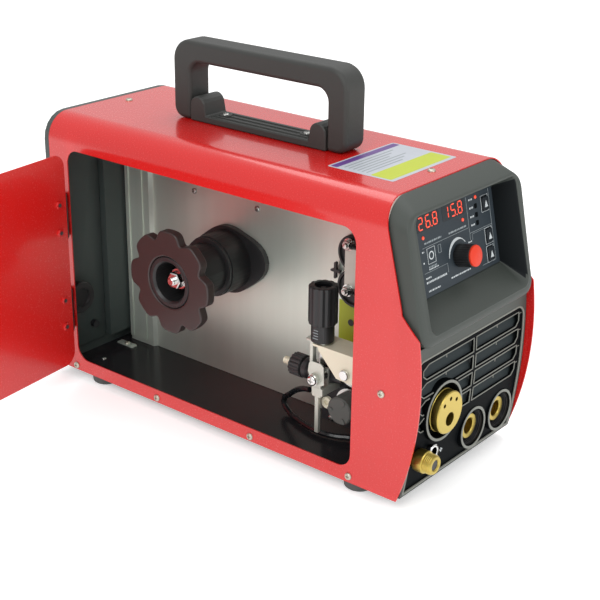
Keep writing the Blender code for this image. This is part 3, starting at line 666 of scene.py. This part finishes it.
handle_skin()
SADDLE_TOP = 268.6
for i in range(3):
    y = -8.0 + 8.0 * i
    ridge = rounded((-70.0, 44.0), (y - 0.9, y + 0.9), 0.8, 3)
    prism(f"handle_rib_{i}", ridge, "Z", SADDLE_TOP - 0.2, SADDLE_TOP + 1.1, GRIP, bevel=0.3)
BOSS = [(6.4, -0.4), (6.4, 1.5), (5.8, 1.9), (4.4, 1.9), (4.0, 0.6), (0, 0.5)]
for i, x in enumerate((-62.0, 36.0)):
    lathe(f"handle_boss_{i}", BOSS, GRIP, (x, 0, SADDLE_TOP), None, 32)
    pan_screw(f"handle_screw_{i}", (x, 0, SADDLE_TOP + 0.5), None, 3.6, STEEL)

# ---- Wire compartment ----

for i, (x, z) in enumerate([(-105.0, 186.0), (-23.5, 185.7), (-105.0, 60.0), (40.0, 220.0)]):
    pan_screw(f"partition_screw_{i}", (x, 1.0, z), NEAR, 3.0, STEEL)
for i, (x, half) in enumerate([(-196.0, 2.2), (-178.0, 3.6)]):
    rib = rounded((x - half, x + half), (6.0, 252.0), 1.9, 4)
    prism(f"partition_rib_{i}", rib, "Y", -4.2, -2.9, ZINC, bevel=0.5)
prism("rear_tab", rounded((-203.0, -180.0), (-21.0, -13.0), 1.5, 3), "Z", 1.6, 2.7, ZINC, bevel=0.3)
pan_screw("rear_tab_screw", (-191.0, -17.0, 2.6), None, 3.0, SCREW)
pan_screw("floor_screw", (-183.0, -58.0, 1.5), None, 2.6, STEEL)

label = [(76.0, 121.0), (76.0, 80.0), (87.0, 75.0), (112.0, 72.0), (112.0, 119.0)]
prism("spool_label", label, "Y", 0.86, 0.98, LIME)
lathe("spool_label_hole", [(3.2, 0.0), (3.2, 0.6), (0, 0.6)], NYLON, (90.0, 0.9, 101.0), NEAR, 24)
for i, z in enumerate((171.0, 138.0)):
    rim = [(15.0, 3.9), (15.6, 6.2), (17.4, 6.2), (18.0, 5.6), (18.0, 3.9)]
    lathe(f"terminal_rim_{i}", rim, NYLON, (96.0, 0, z), NEAR, 48)
prism("terminal_link", rounded((88.5, 101.5), (133.0, 185.0), 5.0, 5), "Y", -9.0, -7.3, PALE, bevel=0.3)
NUT_AND_POST = [(4.6, 10.1), (4.6, 13.6), (4.0, 14.2), (2.4, 14.2), (2.2, 16.5), (0, 16.8)]
POST_X = 93.0
UPPER_POST_Z = 181.0
LOWER_POST_Z = 137.0
LEAD_RADIUS = 3.4
for i, (z, sides) in enumerate([(UPPER_POST_Z, 12), (LOWER_POST_Z, 6)]):
    lathe(
        f"terminal_washer_{i}", [(5.6, 9.0), (5.6, 10.2), (0, 10.2)], BRIGHT, (POST_X, 0, z),
        NEAR, 32,
    )
    lathe(f"terminal_nut_{i}", NUT_AND_POST, STEEL, (POST_X, 0, z), NEAR, sides)
for i, (z, end) in enumerate([(UPPER_POST_Z, 208.0), (LOWER_POST_Z, 150.0)]):
    bend = [(97, -11, z), (106, -16, z + 3), (122, -24, z + 4), (140, -26, end - 6), (160, -22, end)]
    tube(f"terminal_lead_{i}", bend, LEAD_RADIUS, CABLE)
prism("wire_clip_post", rounded((72.8, 75.2), (142.0, 158.0), 1.1, 3), "Y", -4.5, -1.5, NYLON)
prism("wire_clip_arm", rounded((69.0, 79.5), (148.3, 150.6), 1.0, 3), "Y", -4.6, -1.2, NYLON)

step = rounded((-78.0, -31.0), (12.0, 250.0), 6.0, 4)
prism("rear_liner_step", step, "X", -210.2, -207.5, LINER, bevel=0.8)
GLAND_NUT = [(16.5, 0), (16.5, 3.0), (15.5, 4.0), (10.0, 4.0), (9.0, 2.0), (0, 2.0)]
lathe("gland_nut", GLAND_NUT, NYLON, (-200.8, -70.0, 70.0), X_AXIS, 36)

# ---- Spool hub ----

hub_at = (HUB[0], 0, HUB[1])
STAR_LOBES = 8
STAR_RADIUS = 50.0
STAR_BORE = 25.5
STAR_SAMPLES = 320
SCALLOP_DEPTH = 7.8
SCALLOP_SHARPNESS = 3.6
lathe("hub_washer", [(16.5, 47.0), (16.5, 49.0), (0, 49.0)], STEEL, hub_at, NEAR, 36)
lathe("hub_spring", [(8.8, 48.8), (9.4, 50.0), (8.8, 51.4), (0, 51.4)], BRIGHT, hub_at, NEAR, 32)
lathe("hub_bolt_end", [(4.0, 73.9), (4.0, 83.2), (3.2, 84.0), (0, 84.0)], BRIGHT, hub_at, NEAR, 32)
NUT = [(7.2, 73.0), (8.2, 73.6), (8.2, 79.2), (7.2, 80.0), (0, 80.0)]
lathe("hub_nut", NUT, BRIGHT, hub_at, NEAR, 6)
lathe("hub_nut_washer", [(9.8, 71.4), (9.8, 73.0), (0, 73.0)], BRIGHT, hub_at, NEAR, 36)


def star_skin():
    """The star nut with broad lobes and crisp scallops between them."""
    outline = []
    for i in range(STAR_SAMPLES):
        a = 2 * math.pi * i / STAR_SAMPLES
        hollow = ((1 - math.cos(STAR_LOBES * a)) / 2) ** SCALLOP_SHARPNESS
        r = STAR_RADIUS - SCALLOP_DEPTH * hollow
        outline.append((r * math.cos(a), r * math.sin(a)))
    star = prism("star_skin", outline, "Z", 77.0, 86.6, STAR, hub_at, NEAR, "star_nut")
    bore = prism("cutter", disc(STAR_BORE, 64), "Z", 70.0, 90.0, COAL, hub_at, NEAR, None)
    carve(star, [bore])
    round_edges(star, 1.4, 3, 50.0)
    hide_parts("hub_star_nut")


star_skin()

# ---- Wire feeder ----

ROD = Vector((97.0, -50.0, 68.5))
FORK_BOLT = (97.0, 0, 68.5)
ARM_BOLT = (129.0, 0, 82.0)
DRIVE_CAP = (129.0, 0, 49.0)
WIRE_LINE = (0, EURO[0], WIRE_Z)
MARK_PITCH = 2.6

yoke = rounded((82.0, 104.0), (-56.0, -45.0), 2.0, 4)
prism("yoke_top", yoke, "Z", 101.35, 103.1, PALE, body="tensioner", bevel=0.4)
yoke = rounded((-55.4, -50.0), (79.0, 102.2), 1.0, 3)
prism("yoke_strip", yoke, "X", 87.2, 90.4, PALE, body="tensioner", bevel=0.4)
for i in range(4):
    mark = rounded((-3.0 + (i % 2), 3.0), (-0.35, 0.35), 0.3, 2)
    mark_at = ROD + Vector((0, 0, 39.4 + MARK_PITCH * i))
    prism(f"tension_mark_{i}", mark, "Z", 10.2, 10.62, DIM_INK, mark_at, NEAR, "tensioner_knob")
TENSION_CAP = [(8.0, 84.6), (7.2, 85.4), (3.0, 85.6), (2.6, 84.9), (0, 84.8)]
lathe("tension_cap", TENSION_CAP, GLOSS, ROD, None, 32, "tensioner_knob")
BOLT_HEAD = [(4.8, 58.2), (4.8, 60.6), (4.2, 61.4), (0, 61.6)]
lathe("arm_bolt", BOLT_HEAD, BRIGHT, ARM_BOLT, NEAR, 32, "swing_arm")
fork = [
    (88.5, 74.0), (89.6, 82.0), (92.4, 84.4), (103.0, 84.4), (106.0, 81.6),
    (106.8, 65.0), (101.0, 61.6), (95.0, 61.6), (90.6, 69.0),
]
prism("fork_plate", fork, "Y", -59.5, -58.2, PALE, bevel=0.4)
THREAD = [(3.9 - 0.6 * (k % 2), 46.6 + 1.35 * k) for k in range(8)]
TIP = [(1.3, 45.6), (3.0, 45.6)] + THREAD + [(4.4, 57.4), (1.3, 57.4)]
lathe("inlet_tip", TIP[::-1], CREAM, WIRE_LINE, X_AXIS, 36)
lathe("fork_bolt_washer", [(5.4, 62.9), (5.4, 63.9), (0, 63.9)], BRIGHT, FORK_BOLT, NEAR, 28)
pan_screw("fork_bolt_head", (97.0, -63.8, 68.5), NEAR, 5.0, BRIGHT)
SPACER = [(5.6, 49.0), (5.6, 52.0), (2.4, 52.0), (2.2, 50.0), (0, 50.0)]
lathe("leg_spacer", SPACER, CREAM, (104.0, 0, 44.0), NEAR, 32)
COLLAR = [(8.6, 71.2), (10.0, 72.0), (10.0, 76.6), (8.0, 78.4), (8.0, 84.6), (5.0, 84.6)]
lathe("inlet_collar", COLLAR, NYLON, WIRE_LINE, X_AXIS, 36)
CONE = [(6.0, 92.2), (6.4, 95.0), (5.6, 103.0), (4.2, 112.0), (4.0, 112.0)]
lathe("guide_cone", CONE, MOTOR, WIRE_LINE, X_AXIS, 28)
for i, (x, z) in enumerate([(94.5, 17.4), (151.0, 20.0), (89.0, 92.0)]):
    pan_screw(f"plate_screw_{i}", (x, -32.0, z), NEAR, 3.0, STEEL)
for i in range(3):
    a = math.radians(90 + 120 * i)
    prism(
        f"cap_grip_{i}", rounded((-1.4, 1.4), (7.0, 12.4), 1.2, 3), "Z", 66.0, 66.9, COAL, DRIVE_CAP,
        NEAR @ Matrix.Rotation(a, 4, "Z"), "feed_roll",
    )

# ---- Door ----

NUT_X = 14.5
HINGE_SCREW_X = 9.5
DOOR_NUT = [(3.9, 0.0), (3.9, 1.9), (3.4, 2.4), (2.1, 2.4), (2.1, 2.0), (0, 2.0)]
# Painted shade: a dark disc over each red nut's centre that stands in for its shaded hole.
DOOR_HOLE_SHADE = [(1.9, 1.9), (1.9, 3.0), (0, 3.2)]

for low_end, high_end in HINGES:
    tag = "upper" if low_end > 100 else "lower"
    for i, z in enumerate((high_end - 9.0, low_end + 6.0)):
        turn = SWING.to_3x3().to_4x4()
        inner = SWING @ Vector((NUT_X, DOOR_SKIN + 1.2, z + 4.0))
        lathe(f"door_nut_{tag}_{i}", DOOR_NUT, RED, inner, turn @ FAR, 6, "door")
        # The dark disc on the nut is painted shade for the hole.
        lathe(f"door_hole_shade_{tag}_{i}", DOOR_HOLE_SHADE, MOTOR, inner, turn @ FAR, 20, "door")
        outer = SWING @ Vector((HINGE_SCREW_X, 3.9, z))
        pan_screw(f"door_screw_{tag}_{i}", outer, turn @ NEAR, 2.8, SATIN, "door")
        frame_at = DOOR_PIVOT + Vector((-HINGE_SCREW_X, 3.9, z))
        pan_screw(f"frame_screw_{tag}_{i}", frame_at, NEAR, 2.8, SATIN)

# ---- Front panel: a grey frame round a black face with slots ----


FACE_TOP = 129.0
FACE_SIDE = 84.6
FACE_BEHIND = 1.6
FACE_CORNER = 11.0
EURO_HOLE = 27.5
DINSE_HOLE = 20.0
ROUND_HOLES = [(EURO, EURO_HOLE), (DINSE[0], DINSE_HOLE), (DINSE[1], DINSE_HOLE)]
SMALL_HOLES = [(GAS, 8.2), (SOCKET, 5.2)]
RING_MARGIN = 0.6
BACKING = (FACE_BEHIND + 9.4, FACE_BEHIND + 10.4)
BACKING_Z = (6.0, 131.0)
BACKING_Y = 87.4
SIDE_WALL = 1.3
BEAD = 0.5
TICK = 0.45
TAB = 0.4


def slot_outlines():
    """(y, z) outlines of the slots: a near and a far one in each row."""
    outlines = []
    for row in range(SLOT_ROWS):
        low_z = SLOT_LOW + SLOT_PITCH * row
        high_z = low_z + SLOT_TALL
        near = -73.0 if row == SLOT_ROWS - 1 else -76.0
        outlines.append([
            (near, low_z + 4.0), (near + 5.0, low_z), (3.5, low_z),
            (3.5, high_z), (near + 8.0, high_z), (near, high_z - 4.0),
        ])
        outlines.append([
            (7.5, low_z), (73.5, low_z), (78.0, low_z + 4.5), (78.0, high_z), (7.5, high_z),
        ])
    return outlines


def outside_rings(y, z):
    return all(math.dist((y, z), place) > radius + RING_MARGIN for place, radius in ROUND_HOLES)


def spaced(outline, spacing):
    """The closed outline with points no further apart than about the spacing."""
    track = []
    for (y0, z0), (y1, z1) in zip(outline, outline[1:] + outline[:1]):
        steps = max(1, round(math.dist((y0, z0), (y1, z1)) / spacing))
        track += [(y0 + (y1 - y0) * i / steps, z0 + (z1 - z0) * i / steps) for i in range(steps)]
    return track


def beads(name, outline, behind, radius):
    """A raised line round a slot, left out where a socket's ring stands over it."""
    track = spaced(outline, 2.0)
    hidden = [i for i, spot in enumerate(track) if not outside_rings(*spot)]
    if not hidden:
        tube(name, [(front_x(z, behind), y, z) for y, z in track], radius, LINE, True, smooth=False)
        return
    track = track[hidden[0]:] + track[:hidden[0]]
    run = []
    runs = []
    for y, z in track + [track[0]]:
        if outside_rings(y, z):
            run.append((front_x(z, behind), y, z))
        else:
            runs.append(run)
            run = []
    for i, run in enumerate(r for r in runs if len(r) > 2):
        tube(f"{name}_{i}", run, radius, LINE, smooth=False)


def front_frame():
    """The grey frame round the black face, with a raised line along its inner edge."""
    bm = bmesh.new()
    curved_strip(bm, (3.0, 140.0), (-87.9, 87.9), (0.0, 6.0))
    piece = finish_mesh(bm, "front_frame", FRAME)
    side, top = FACE_SIDE - FACE_CORNER, FACE_TOP - FACE_CORNER
    window = (
        [(-FACE_SIDE, 6.0), (FACE_SIDE, 6.0)]
        + arc((side, top), FACE_CORNER, 0, 90, 8) + arc((-side, top), FACE_CORNER, 90, 180, 8)
    )
    carve(piece, [cutter(window, "X", *THROUGH_FRONT)] + drums(ROUND_HOLES))
    track = [(front_x(z, 0.5), y, z) for y, z in spaced(window, 6.0)]
    tube("face_outline", track, 1.0, LINE, True, smooth=False)


def front_face():
    """The black face with its slots, each with a raised line and small marks."""
    bm = bmesh.new()
    curved_strip(bm, (5.6, 131.0), (-86.0, 86.0), (FACE_BEHIND, FACE_BEHIND + 2.6))
    piece = finish_mesh(bm, "front_face", GLOSS)
    slots = slot_outlines()
    tools = drums(ROUND_HOLES + SMALL_HOLES)
    tools += [cutter(slot, "X", *THROUGH_FRONT) for slot in slots]
    carve(piece, tools)
    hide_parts("front_panel")
    for i, slot in enumerate(slots):
        beads(f"slot_bead_{i}", slot, FACE_BEHIND, BEAD)
        y = -38.0 if i % 2 == 0 else 42.0
        top = max(z for _, z in slot)
        if outside_rings(y, top):
            tick = [(front_x(top - d, FACE_BEHIND + 0.6), y, top - d) for d in (0.0, 3.4)]
            tube(f"slot_tick_{i}", tick, TICK, LINE, smooth=False)
        if i % 2:
            tab = [(front_x(top - 1.6, FACE_BEHIND), y, top - 1.6) for y in (78.0, 82.0)]
            tube(f"slot_tab_{i}", tab, TAB, LINE, smooth=False)


def louvres():
    """Sloping blades behind the slots, and a dark wall behind them."""
    bm = bmesh.new()
    for row in range(SLOT_ROWS):
        low_z = SLOT_LOW + SLOT_PITCH * row
        start, end = front_x(low_z, FACE_BEHIND + 3.0), front_x(low_z, FACE_BEHIND + 7.5)
        high_z = low_z + SLOT_TALL - 1.6
        blade = [(start, low_z - 1.0), (start, low_z + 0.6), (end, high_z), (end - 1.4, high_z)]
        add_prism(bm, blade, "Y", -85.8, 85.8)
    blades = finish_mesh(bm, "louvre_blades", BLADE)
    carve(blades, drums(ROUND_HOLES[:1]))
    bm = bmesh.new()
    curved_strip(bm, BACKING_Z, (-BACKING_Y, BACKING_Y), BACKING)
    backing = finish_mesh(bm, "grille_backing", SATIN)
    carve(backing, drums(ROUND_HOLES + SMALL_HOLES))


front_frame()
front_face()
louvres()
for i, side in enumerate([(-BACKING_Y, SIDE_WALL - BACKING_Y), (BACKING_Y - SIDE_WALL, BACKING_Y)]):
    bm = bmesh.new()
    curved_strip(bm, BACKING_Z, side, (FACE_BEHIND + 4.6, FACE_BEHIND + 9.2))
    finish_mesh(bm, f"grille_side_{i}", SATIN)
prism("front_sill", rounded((200.0, 206.0), (1.7, 6.2), 0.5, 2), "Y", -87.0, 87.0, SATIN)
EURO_WELL = [(24.5, 8.2), (24.1, 8.2), (24.1, 0.6), (19.5, 0.6), (19.5, 0.2), (24.5, 0.2)]
lathe("euro_well", EURO_WELL, GLOSS, (212.0, *EURO), X_AXIS, 64)
ring = [(27.2, 221.02), (27.2, 221.3), (26.9, 221.5), (25.1, 221.5), (24.8, 221.3), (24.8, 221.02)]
lathe("euro_ring", ring[::-1], RIM, (0, *EURO), X_AXIS, 72)
EURO_COLLAR = [(19.25, 6.6), (19.6, 6.9), (19.6, 7.5), (19.25, 7.8)]
lathe("euro_collar", EURO_COLLAR, BRASS, (212.0, *EURO), X_AXIS, 64)
DINSE_FLOOR = [(14.2, 207.1), (14.2, 207.6), (12.3, 207.6), (12.3, 207.1)]
for i, place in enumerate(DINSE):
    ring = [(19.8, 218.02), (19.8, 218.3), (19.5, 218.5), (17.7, 218.5), (17.4, 218.3), (17.4, 218.02)]
    lathe(f"dinse_ring_{i}", ring[::-1], RIM, (0, *place), X_AXIS, 64)
    well = [(16.6, 217.0), (16.3, 217.2)]
    for k in range(4):
        x = 215.8 - 1.7 * k
        well += [(16.2 - 0.1 * k, x), (15.7 - 0.1 * k, x - 0.6)]
    well += [(15.4, 209.2), (15.8, 209.2)]
    lathe(f"dinse_well_{i}", well, SATIN, (0, *place), X_AXIS, 48)
    lathe(f"dinse_floor_{i}", DINSE_FLOOR, GLOSS, (0, *place), X_AXIS, 40)
for i in range(4):
    crest = [(8.3, 0), (8.9, 0.5), (8.3, 1.0)]
    lathe(f"gas_thread_{i}", crest, BRASS, (228.6 + 1.6 * i, *GAS), X_AXIS, 40)
lathe("gas_bore", [(4.5, 13.0), (4.3, 13.0), (4.3, 0.4), (0, 0.4)], MOTOR, (222.0, *GAS), X_AXIS, 32)
SOCKET_COLLAR = [(6.5, 0), (7.1, 0.6), (7.1, 2.4), (6.5, 3.0)]
lathe("socket_collar", SOCKET_COLLAR, BRIGHT, (218.8, *SOCKET), X_AXIS, 40)
lathe("socket_face", [(4.4, 2.4), (0, 2.4)], NYLON, (218.6, *SOCKET), X_AXIS, 24)
PLUS = (-32.0, 28.0)
for wide, tall, tag in ((4.2, 1.1, "bar"), (1.1, 4.2, "post")):
    x = front_x(PLUS[1], FACE_BEHIND)
    (y, z), half, up = PLUS, wide / 2, tall / 2
    outline = rounded((y - half, y + half), (z - up, z + up), 0.3, 2)
    prism(f"plus_{tag}", outline, "X", x - 0.1, x + 0.3, INK)

# ---- Display ----


def printed(name, y_range, z_range, material, radius=0.4, lift=0.12, thick=0.1):
    """A flat mark on the display face."""
    y, z = sum(y_range) / 2, sum(z_range) / 2
    tall = (z_range[1] - z_range[0]) / math.cos(DISPLAY_TILT) / 2
    half = (y_range[1] - y_range[0]) / 2
    outline = rounded((-tall, tall), (-half, half), min(radius, tall * 0.95, half * 0.95), 3)
    return prism(name, outline, "Z", lift - thick, lift, material, on_display(y, z), ALONG_DISPLAY)


def outline_box(name, y_range, z_range, material, width=0.5):
    """A thin printed frame on the display face."""
    (y0, y1), (z0, z1) = y_range, z_range
    corners = [(y0, z0), (y1, z0), (y1, z1), (y0, z1)]
    tube(name, [on_display(y, z, 0.1) for y, z in corners], width / 2, material, True, smooth=False)


DIGIT_WIDE = 5.6
DIGIT_TALL = 10.0
SEGMENTS = {"2": "abged", "6": "afgedc", "8": "abcdefg", "1": "bc", "4": "fgbc", "5": "afgcd"}


def digit(name, figure, y, z):
    """A seven-segment figure with its centre at (y, z)."""
    half, mid = DIGIT_WIDE / 2, DIGIT_TALL / 4
    spots = {
        "a": (0, 2 * mid, True), "g": (0, 0, True), "d": (0, -2 * mid, True),
        "f": (-half, mid, False), "b": (half, mid, False),
        "e": (-half, -mid, False), "c": (half, -mid, False),
    }
    bm = bmesh.new()
    for key in SEGMENTS[figure]:
        v, u, flat = spots[key]
        long_u, long_v = (0.55, half - 0.9) if flat else (mid - 0.9, 0.55)
        u0, u1, v0, v1 = -u - long_u, -u + long_u, v - long_v, v + long_v
        if flat:
            tips = [(u0, v0), (-u, v0 - 0.6), (u1, v0), (u1, v1), (-u, v1 + 0.6), (u0, v1)]
        else:
            tips = [(u0 - 0.6, v), (u0, v0), (u1, v0), (u1 + 0.6, v), (u1, v1), (u0, v1)]
        add_prism(bm, tips, "Z", 0.2, 0.35)
    return finish_mesh(bm, name, LED, on_display(y, z), ALONG_DISPLAY)


def stroke(name, spots, width=0.5):
    """A thin printed line on the display face."""
    tube(name, [on_display(y, z, 0.08) for y, z in spots], width / 2, DIM_INK, smooth=False)


def dashes(name, y_range, z, material=DIM_INK, tall=1.5, widths=(1.6, 0.9, 1.3, 1.1)):
    """A row of small bars in place of a line of lettering."""
    bm = bmesh.new()
    y, i = y_range[0], 0
    while y < y_range[1]:
        wide = min(widths[i % len(widths)], y_range[1] - y)
        if wide > 0.4:
            add_prism(bm, rounded((-tall / 2, tall / 2), (y, y + wide), 0.15, 2), "Z", 0.02, 0.12)
        y += wide + 0.8
        i += 1
    finish_mesh(bm, name, material, on_display(0, z), ALONG_DISPLAY)


def crescent():
    """The level arc round the knob, widest near its top."""
    start, end, steps = math.radians(176), math.radians(38), 36
    outer, inner = [], []
    for i in range(steps + 1):
        t = i / steps
        a = start + (end - start) * t
        width = 0.7 + 2.2 * math.sin(math.pi * min(1.0, t * 1.15)) ** 1.5
        for ring, radius in ((outer, 14.6 + width / 2), (inner, 14.6 - width / 2)):
            ring.append((-radius * math.sin(a), radius * math.cos(a)))
    prism("level_arc", outer + inner[::-1], "Z", 0.02, 0.14, INK, on_display(*ENCODER), ALONG_DISPLAY)


DIGIT_Z = 229.3
DIGIT_PITCH = 10.4
LAMP = [(1.5, 0), (1.4, 0.6), (0.9, 0.95), (0, 1.05)]
for tag, y_low, figures in (("left", -42.6, "268"), ("right", -4.8, "158")):
    printed(f"window_{tag}", (y_low - 2.0, y_low + 31.2), (222.6, 236.0), WINDOW, 1.0, 0.15)
    for i, figure in enumerate(figures):
        digit(f"digit_{tag}_{i}", figure, y_low + 3.8 + DIGIT_PITCH * i, DIGIT_Z)
    dot_at = on_display(y_low + 19.4, DIGIT_Z - 5.0)
    lathe(f"digit_point_{tag}", [(0.75, 0.0), (0.7, 0.35), (0, 0.36)], LED, dot_at, ALONG_DISPLAY, 16)
for i, (y, z) in enumerate([(-37.9, 217.5), (21.8, 217.9), (44.6, 232.0)]):
    lathe(f"lamp_{i}", LAMP, LED, on_display(y, z), ALONG_DISPLAY, 20)
for i, z in enumerate((231.4, 224.3, 216.8, 209.8)):
    if i:
        printed(f"row_window_{i}", (41.6, 46.0), (z - 1.9, z + 2.3), GLOSS, 0.8, 0.1)
    dashes(f"row_mark_{i}", (34.0, 39.6), z, INK)
stroke("line_rows_left", [(30.0, 235.0), (30.0, 198.5)])
stroke("line_rows_right", [(65.4, 235.0), (65.4, 172.5), (44.0, 172.5)])
stroke("line_divider", [(30.0, 204.0), (65.2, 204.0)])
stroke("line_key_box", [(33.5, 197.5), (33.5, 202.6), (63.8, 202.6)], width=0.4)
stroke("line_left_top", [(-40.5, 209.2), (28.6, 209.2)])
stroke("line_left_low", [(-41.8, 188.6), (-8.0, 188.6), (-8.0, 181.0)])
dashes("marks_under_left", (-37.0, -12.0), 212.4, widths=(3.0, 1.2, 4.2, 2.2))
dashes("marks_under_right", (-1.0, 27.0), 211.8, widths=(2.0, 5.0, 3.4, 1.2))
dashes("marks_icon_a", (-34.6, -22.6), 192.2)
dashes("marks_icon_b", (-34.6, -20.6), 190.4, INK, 1.1)
dashes("marks_name_a", (-40.6, -33.0), 184.2, INK, 1.3)
dashes("marks_name_b", (-40.6, -10.0), 180.6, INK, 1.7)
dashes("marks_foot", (-39.0, -22.0), 173.2, INK, 1.4, (0.7, 1.6, 0.7, 1.8))
dashes("marks_knob_low", (-5.0, 26.0), 175.0, INK, 1.3, (2.6, 1.6, 4.0, 1.0))
dashes("marks_knob_side", (26.5, 32.5), 197.0, INK, 1.2)
dashes("marks_edge", (-41.6, -38.8), 206.2, INK, 1.3)
dashes("marks_edge_low", (-41.6, -39.4), 197.2, INK, 1.3)
outline_box("icon_box", (-34.8, -23.6), (194.8, 207.6), INK, 0.55)
ICON_RING = [(3.6, 0.05), (3.6, 0.15), (2.6, 0.15), (2.6, 0.05)]
lathe("icon_ring", ICON_RING, INK, on_display(-29.2, 201.2), ALONG_DISPLAY, 32)
outline_box("icon_small", (-18.6, -14.8), (200.2, 206.8), DIM_INK, 0.6)
crescent()
for i, (y, z) in enumerate(KEYS):
    body = ("upper_key", "middle_key", "lower_key")[i]
    triangle = [(3.2, -2.5), (3.2, 2.5), (-2.8, 0.0)]
    prism(f"key_mark_{i}", triangle, "Z", 1.84, 1.96, INK, on_display(y, z), ALONG_DISPLAY, body)
    outline_box(f"key_frame_{i}", (y - 5.5, y + 5.5), (z - 7.0, z + 7.0), INK, 0.5)


def knob_ribs(ring, angle):
    """Ring shaping for the knob: fine ribs on its side, none on its two top rings."""
    return 1.0 if ring in (0, 1) else 1.0 - 0.03 * (0.5 - 0.5 * math.cos(28 * angle)) ** 2


knob = lathe(
    "knob_skin", [(9.0, 15.5), (9.6, 15.3), (9.8, 14.6), (10.0, 1.6), (9.6, 0.6), (3.2, 0.6)], NYLON,
    on_display(*ENCODER), ALONG_DISPLAY, 168, "encoder", knob_ribs,
)
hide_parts("encoder_knob")
knob_cap = lathe(
    "knob_cap_skin", [(0, 18.0), (8.2, 17.9), (9.1, 17.4), (9.4, 16.6), (9.3, 15.8), (0, 15.8)],
    CAP_RED, on_display(*ENCODER), ALONG_DISPLAY, 64, "encoder",
)
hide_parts("encoder_cap")

# ---- Rear ----

for i, (y, z) in enumerate([(-80.0, 12.0), (80.0, 12.0), (-72.0, 248.0), (72.0, 248.0)]):
    pan_screw(f"rear_screw_{i}", (-216.0, y, z), Matrix.Rotation(math.radians(-90), 4, "Y"), 3.2, STEEL)

# ---- Stage and light ----

scene = bpy.context.scene
scene.view_settings.view_transform = "Standard"
FLOOR_Z = -10.4
FLOOR_HALF = 6000


def floor():
    bm = bmesh.new()
    bmesh.ops.create_grid(bm, x_segments=2, y_segments=2, size=FLOOR_HALF)
    pale = surface("pale_floor", srgb(246, 246, 246), 0.7, vary=0.01, glow=0.4)
    ground = finish_mesh(bm, "floor", pale, (0, 0, FLOOR_Z), None, None)


def softbox(name, place, target, size, power):
    data = bpy.data.lights.new(name, "AREA")
    data.shape = "RECTANGLE"
    data.size, data.size_y = size
    data.energy = power
    light = bpy.data.objects.new(name, data)
    scene.collection.objects.link(light)
    light.location = place
    light.rotation_mode = "QUATERNION"
    light.rotation_quaternion = (Vector(target) - Vector(place)).to_track_quat("-Z", "Y")


floor()
world = bpy.data.worlds.new("studio")
world.use_nodes = True
world.node_tree.nodes["Background"].inputs["Color"].default_value = (1.0, 1.0, 1.0, 1.0)
world.node_tree.nodes["Background"].inputs["Strength"].default_value = 0.75
scene.world = world
softbox("key", (0.5, -1.6, 1.5), (0, 0, 0.15), (1.4, 1.0), 19)
softbox("top", (-0.3, 0.6, 1.9), (0, 0, 0.2), (1.8, 1.4), 19)
softbox("front", (1.9, 0.1, 0.8), (0.1, 0, 0.15), (1.0, 1.0), 9)
